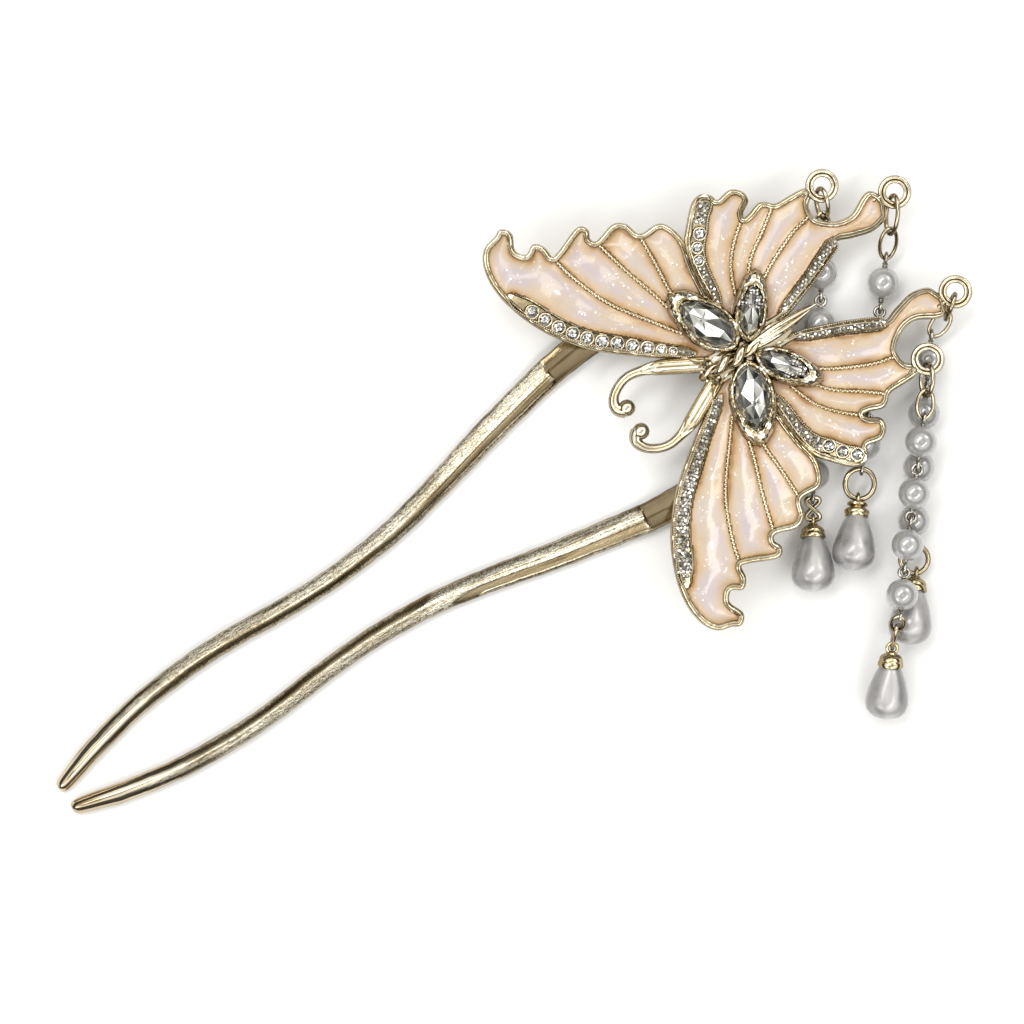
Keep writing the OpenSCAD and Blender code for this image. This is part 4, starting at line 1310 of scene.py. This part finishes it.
def eyelet_necks():
    """Two small balls between each eyelet and its wing."""
    parts = []
    for at, neck in zip(EYELETS, ([20.9, 14.9], [29.4, 8.9])):
        for k, r in ((2.5, 0.5), (3.15, 0.42)):
            p = np.array(at) + unit(np.array(neck) - at) * k
            neck_ball = ball([(0, -r), (0.7 * r, -0.7 * r), (r, 0)], 14)
            parts.append(moved(neck_ball, leaning(p) @ shift(0, 0, 0.95)))
    return together(parts)


def keel_skin():
    """The plate under the body that joins the four wings."""
    line = np.stack([np.linspace(-4.9, 8.9, 24), np.zeros(24)], 1)
    width = 4.4 * np.sqrt(np.sin(np.linspace(0.25, math.pi - 0.25, 24)))
    top = [(u, WEB_TOP) for u in (-0.9, -0.5, 0, 0.5, 0.9)] + [(1, 1.3)]
    return band(line, width, top + [(u, 0.16) for u in (1, 0.5, 0, -0.5, -1)] + [(-1, 1.3)])


def seat_skins():
    """Arc on the bend and two rivets, in the part's frame."""
    section = [(-1.7, FLAT_H), (1.7, FLAT_H), (1.7, 5.0), (1.5, 5.3), (-1.5, 5.3), (-1.7, 5.0)]
    rings = []
    for t in np.radians(np.linspace(-SEAT_ARC, SEAT_ARC, 25)):
        c, s = math.cos(t), math.sin(t)
        rings.append([(BEND_X + (BEND_R + u) * c, (BEND_R + u) * s, z) for u, z in section])
    rivet = lathe([(0, -0.12), (0.6, -0.1), (0.8, -0.02), (0.8, 2.2), (0, 2.2)], 24)
    stand = shift(BEND_R) @ turned(-90, "Y")
    return together([loft(rings)] + [moved(rivet, shift(BEND_X) @ turned(t) @ stand) for t in RIVETS_AT])


eyelets = [ring_at(at, r, wire, EYELET_T + t, 48) for at in EYELETS
           for r, wire, t in ((2.1, 0.32, 0), (1.52, 0.25, 0.12), (1.81, 0.3, -0.3))]
piece("butterfly_body", body_skins(), gold_bright, sharp=50)
piece("antennae", both(antenna_skin()), gold_cast, sharp=50)
wires("eyelets", with_mirrored(eyelets), gold_cast, sides=12)
piece("eyelet_necks", both(eyelet_necks()), gold_cast)
piece("wing_keel", keel_skin(), gold_cast)
piece("seat_and_rivets", seat_skins(), gold_cast, place=PART)


# Strands: a joint is the point where two loops pass through each other

PEARL_R = 2.3
PEARL_HOLE = 0.4
EYE_R = 0.72
PIN_R = 0.25
RING_R = 0.275
# Play between two loops, and the way from a joint to the middle of the eye that starts there
SLACK = 0.16
EYE_IN = EYE_R - SLACK - PIN_R
DROP_R = 3.15
DROP_SIDES = 40
BELLY_AT = 5.3
CAP_RING_R, CAP_RING_WIRE = 0.75, 0.25
# The way from a strand's last joint to the middle of its cap
CAP_BACK = 1.1 + 0.45 + CAP_RING_R - CAP_RING_WIRE - SLACK / 2
WRAP_R, WRAP_WIRE = 0.3, 0.14
CAP_LINE = [
    (0, -1.12), (0.45, -1.14), (0.62, -1.05), (0.72, -0.86), (0.8, -0.72), (1.1, -0.62), (1.42, -0.42),
    (1.62, -0.12), (1.7, 0.12), (1.64, 0.26), (1.74, 0.4), (1.82, 0.7), (1.85, 0.95), (1.8, 1.1),
    (1.55, 1.12), (1.48, 0.6), (1.2, -0.2), (0, -0.4),
]
DISC_LINE = [
    (0, -1.12), (0.7, -1.14), (1.3, -1.0), (1.5, -0.8), (1.46, -0.56), (1.15, -0.42), (1.08, -0.3),
    (1.2, -0.16), (1.62, 0.0), (1.84, 0.25), (1.8, 0.55), (1.66, 0.68), (1.72, 0.9), (1.68, 1.1),
    (1.52, 1.12), (1.45, 0.6), (1.2, -0.2), (0, -0.4),
]
# A strand: its first joint, heading, pitch and heights of its joints; the eyelet that it hangs on, and
# the heading, reach, fall and roll of the link there; the joints of its last links, their half width,
# wire and twist; the heading of the drop, the height and section of its cap and the turn of the ring on it
Strand = namedtuple("Strand", (
    "first heading pitch heights eyelet swing reach fall roll tail half wire cross drop cap section turn"))
STRANDS = [
    Strand([19.3, 6.9], 236.3, 7.25, [PEARL_R] * 6, [23.3, 14.6], 242.5, 4.1, 0.5, 65,
           [[-2.05, -25.4, 1.9]], 1.0, 0.33, 0.32, 238, 2.2, CAP_LINE, 90),
    Strand([26.5, 1.2], 232.1, 7.8, [PEARL_R] * 5, [31.8, 8.4], 233.6, 5.5, 0.22, 65,
           [[5.1, -26.2, 1.9]], 2.1, 0.40, 0.0, 233.2, 2.2, DISC_LINE, 90),
    Strand([26.3, -11.7], 233.2, 7.76, [PEARL_R] * 5, [31.8, -8.4], 221.3, 3.2, 0.8, 90,
           [[6.7, -39.7, 1.9]], 2.0, 0.38, 0.0, 230.8, 2.2, CAP_LINE, 90),
    Strand([18.8, -21.2], 231.1, 7.43, [5.7, 5.7, 5.7, 5.9, 8.6], [23.3, -14.6], 235.7, 4.7, 0.06, 65,
           [[-0.6, -44.9, 7.15], [-2.1, -46.9, 4.5]], 0.95, 0.31, 0.0, 234.1, 4.3, CAP_LINE, 0),
]
DROP_LINE = [
    [0.0, 0.0], [0.9, 0.02], [1.36, 0.5], [1.46, 1.1], [1.82, 1.8], [2.18, 2.6], [2.6, 3.8], [2.92, 5.0],
    [3.1, 6.0], [3.06, 6.9], [2.74, 7.7], [2.15, 8.3], [1.35, 8.66], [0.5, 8.79], [0.0, 8.8],
]


def heading(degrees):
    return np.array([math.cos(math.radians(degrees)), math.sin(math.radians(degrees))])


def joints_of(strand):
    """The joints of a strand, from its first pin to its last."""
    found = [np.array([*strand.first, strand.heights[0]])]
    for z in strand.heights[1:]:
        run = math.sqrt(strand.pitch ** 2 - (z - found[-1][2]) ** 2)
        found.append(np.array([*(found[-1][:2] + heading(strand.heading) * run), z]))
    return found


def from_to(a, b):
    """Matrix with its X axis from a to b and its origin at a."""
    d = np.asarray(b) - a
    way = Matrix.Rotation(math.atan2(d[1], d[0]), 4, "Z")
    up = math.atan2(d[2], math.hypot(d[0], d[1]))
    return Matrix.Translation(a) @ way @ Matrix.Rotation(-up, 4, "Y")


def hold(a, b):
    return b + unit(b - a) * (RING_R + SLACK)


def in_eye(a, b):
    return a + unit(b - a) * (EYE_IN + 0.06)


def oval_link(p, q, half_w, roll, wire, cross=0.0):
    """A closed wire from p to q; a crossed one is bent into an eight."""
    reach = np.linalg.norm(q - p) / 2
    t = around(56 if cross else 40)
    y = half_w * np.sin(2 * t if cross else t)
    line = np.stack([reach * np.cos(t), y, cross * np.sin(t)], 1)
    return set_at(line, from_to(p, q) @ shift(reach) @ turned(roll, "X")), wire, True


def eye_pin(a, b, roll_a, roll_b):
    """Wires of a pin through a bead: an eye with two wraps at each end, and the stem."""
    l = np.linalg.norm(b - a)
    stem = [[x, 0, 0] for x in (EYE_IN + EYE_R, l / 2, l - EYE_IN - EYE_R)]
    lines = [(np.array(stem), PIN_R - 0.02, False)]
    for x, roll, way in ((EYE_IN, roll_a, 1), (l - EYE_IN, roll_b, -1)):
        lines.append((set_at(ring(EYE_R, 28), shift(x) @ turned(roll, "X")), PIN_R, True))
        for k in (0.1, 0.46):
            lines.append((ring(WRAP_R, 14, x + way * (EYE_R + k))[:, ABOUT_X], WRAP_WIRE, True))
    return [(set_at(line, from_to(a, b)), wire, loop) for line, wire, loop in lines]


def links_of(strand):
    """Wires of a strand: its two first links and its last links, and the pins through its beads."""
    at, fall = strand.eyelet, strand.fall
    pins = joints_of(strand)
    eye_z = underside(at[1]) + EYELET_T
    way = heading(strand.swing)
    start = np.array([*(at + way * (0.55 + RING_R + SLACK)), eye_z + 0.1 + 0.3 * fall])
    middle = np.array([*(at + way * strand.reach), eye_z - fall * strand.reach])
    lines = [
        oval_link(hold(middle, start), hold(start, middle), 1.6, strand.roll, 0.34),
        oval_link(hold(pins[0], middle), in_eye(pins[0], pins[1]), 1.2, -10, 0.28),
    ]
    through = []
    for k in range(len(pins) - 1):
        turn = 90 if k % 2 == 0 else 0
        through += eye_pin(pins[k], pins[k + 1], turn, 90 if k == len(pins) - 2 else turn)
    tail = [pins[-1]] + [np.array(t) for t in strand.tail]
    for k in range(1, len(tail)):
        p = in_eye(tail[0], pins[-2]) if k == 1 else hold(tail[k], tail[k - 1])
        roll = 0 if k == 1 else 90
        q = hold(tail[k - 1], tail[k])
        lines.append(oval_link(p, q, strand.half, roll, strand.wire, strand.cross))
    return lines, through


def pearl_skin():
    """Round bead with a drilled hole whose mouths are rounded."""
    edge = math.sqrt(PEARL_R ** 2 - 0.5 ** 2)
    mouth = [(PEARL_HOLE, edge - 0.25), (PEARL_HOLE + 0.03, edge - 0.05)]
    arc = [(PEARL_R * math.sin(t), PEARL_R * math.cos(t)) for t in np.linspace(0.22, math.pi - 0.22, 25)]
    return lathe(mouth + arc + [(r, -x) for r, x in mouth[::-1]] + mouth[:1], 40)


def on_cap(strand):
    """Matrix of a lying drop: origin in the middle of its cap, X towards its round end."""
    x, y, _ = strand.tail[-1]
    rise = math.asin((DROP_R + 0.03 - strand.cap) / BELLY_AT)
    tilted = turned(strand.drop) @ Matrix.Rotation(-rise, 4, "Y")
    return shift(x, y, strand.cap - CAP_BACK * math.sin(rise)) @ tilted @ shift(CAP_BACK)


def cap_skin(strand):
    """Cap, the peg in the drop and the ring that it hangs on."""
    circle = ring(CAP_RING_R, 28)
    side, top = side_and_top(circle, True)
    wire = ring(CAP_RING_WIRE, 10)
    rings = circle[:, None] + side[:, None] * wire[None, :, :1] + top[:, None] * wire[None, :, 1:2]
    peg = lathe([(0, -0.8), (0.34, -0.8), (0.34, 1.8), (0, 1.8)], 12)
    hanger = moved(loft(rings, True), shift(-1.55) @ turned(strand.turn, "X"))
    return moved(together([lathe(strand.section, 40), peg, hanger]), on_cap(strand))


def drop_skin(strand):
    line = spline(DROP_LINE, 4)
    line[:, 0] = np.maximum(line[:, 0], 0)
    line[0, 0] = line[-1, 0] = 0.01
    turn = np.tile(np.arange(DROP_SIDES) * 360.0 / DROP_SIDES, len(line))
    return moved(lathe(line.tolist(), DROP_SIDES), on_cap(strand)), {"turn": np.abs(turn - 180)}


pearl = pearl_skin()
bead_glaze = pearl_glaze()
drop_glaze = drop_lacquer()
cap_gold = gold("cap_brass", (0.76, 0.65, 0.42), (0.50, 0.40, 0.21), 0.09, 0.4, 0.006)
for n, strand in enumerate(STRANDS, 1):
    loops, through = links_of(strand)
    wires(f"strand_{n}_links", loops, gold_wire, [f"links_{n}"])
    wires(f"strand_{n}_pins", through, grey_wire)
    piece(f"strand_{n}_cap", cap_skin(strand), cap_gold, [f"cap_{n}"], sharp=50)
    skin, marks = drop_skin(strand)
    piece(f"strand_{n}_drop", skin, drop_glaze, [f"drop_{n}"], sharp=60, marks=marks)
    pins = joints_of(strand)
    for k in range(len(pins) - 1):
        half = np.linalg.norm(pins[k + 1] - pins[k]) / 2
        bead = moved(pearl, from_to(pins[k], pins[k + 1]) @ shift(half))
        piece(f"bead_{n}_{k + 1}", bead, bead_glaze, [f"pearl_{n}_{k + 1}"], sharp=50)


# Camera, straight above, rolled as in the photograph

PHOTO_ROLL = math.radians(-33.6)
VIEW_WIDTH = 146.3
LENS = 120.0
SENSOR = 36.0
FLOOR_HALF = 2.0
look_at = Vector((18.27, -1.20, 6.0)) * MM
camera_data = bpy.data.cameras.new("camera")
camera_data.lens = LENS
camera_data.sensor_width = SENSOR
camera_data.clip_start = 0.01
camera = shown("camera", camera_data)
camera.location = look_at + Vector((0, 0, VIEW_WIDTH * MM * LENS / SENSOR))
camera.rotation_euler = (0, 0, PHOTO_ROLL)
bpy.context.scene.camera = camera
bpy.context.scene.view_settings.view_transform = "Standard"


# Floor and studio light

def studio_floor():
    f = Finish("floor_paint")
    tone = f.ramp(f.noise(300, 2), [(0.3, (0.89, 0.89, 0.88)), (0.7, (0.92, 0.92, 0.91))])
    mesh = bpy.data.meshes.new("floor")
    h = FLOOR_HALF
    mesh.from_pydata([(-h, -h, 0), (h, -h, 0), (h, h, 0), (-h, h, 0)], [], [(0, 1, 2, 3)])
    mesh.materials.append(f.done(tone, 0.9, Specular_IOR_Level=0.1))
    floor = shown("floor", mesh)


# Area lights: compass angle, tilt from the vertical, distance, width and height in metres, brightness
SOFTBOXES = {
    "key": (100, 24, 1.0, 0.8, 0.26, 5.2), "fill": (-80, 30, 1.0, 0.8, 0.22, 3.5),
    "side": (10, 50, 1.1, 0.4, 0.3, 3.0), "tail": (190, 50, 1.1, 0.4, 0.3, 3.0),
}


def softbox(name, toward, tilt, distance, width, height, radiance):
    """Area light that shines on the piece from an angle and a tilt in degrees."""
    data = bpy.data.lights.new(name, "AREA")
    data.shape = "RECTANGLE"
    data.size = width
    data.size_y = height
    data.energy = radiance * math.pi * width * height
    light = shown(name, data)
    a, b = math.radians(toward), math.radians(tilt)
    way = Vector((math.cos(a) * math.sin(b), math.sin(a) * math.sin(b), math.cos(b)))
    light.location = look_at + way * distance
    light.rotation_euler = way.to_track_quat("Z", "Y").to_euler()


studio_floor()
for name, light in SOFTBOXES.items():
    softbox(name, *light)
# Brightness by height over the horizon: pale wall, dark gap, ring of diffusers, and white right above
SKY = [(0.0, 0.7), (0.05, 0.12), (0.10, 0.08), (0.46, 0.10), (0.55, 1.35), (0.86, 1.35), (0.92, 0.16)]
world = bpy.data.worlds.new("studio")
world.use_nodes = True
sky = world.node_tree
rise = put(sky, "ShaderNodeSeparateXYZ", {"Vector": put(sky, "ShaderNodeTexCoord").outputs["Generated"]})
levels = [(place, (level, level * 0.985, level * 0.96)) for place, level in SKY] + [(1.0, WHITE)]
bands = ramped(sky, rise.outputs["Z"], levels)
join(sky, sky.nodes["Background"], {"Color": bands})
bpy.context.scene.world = world
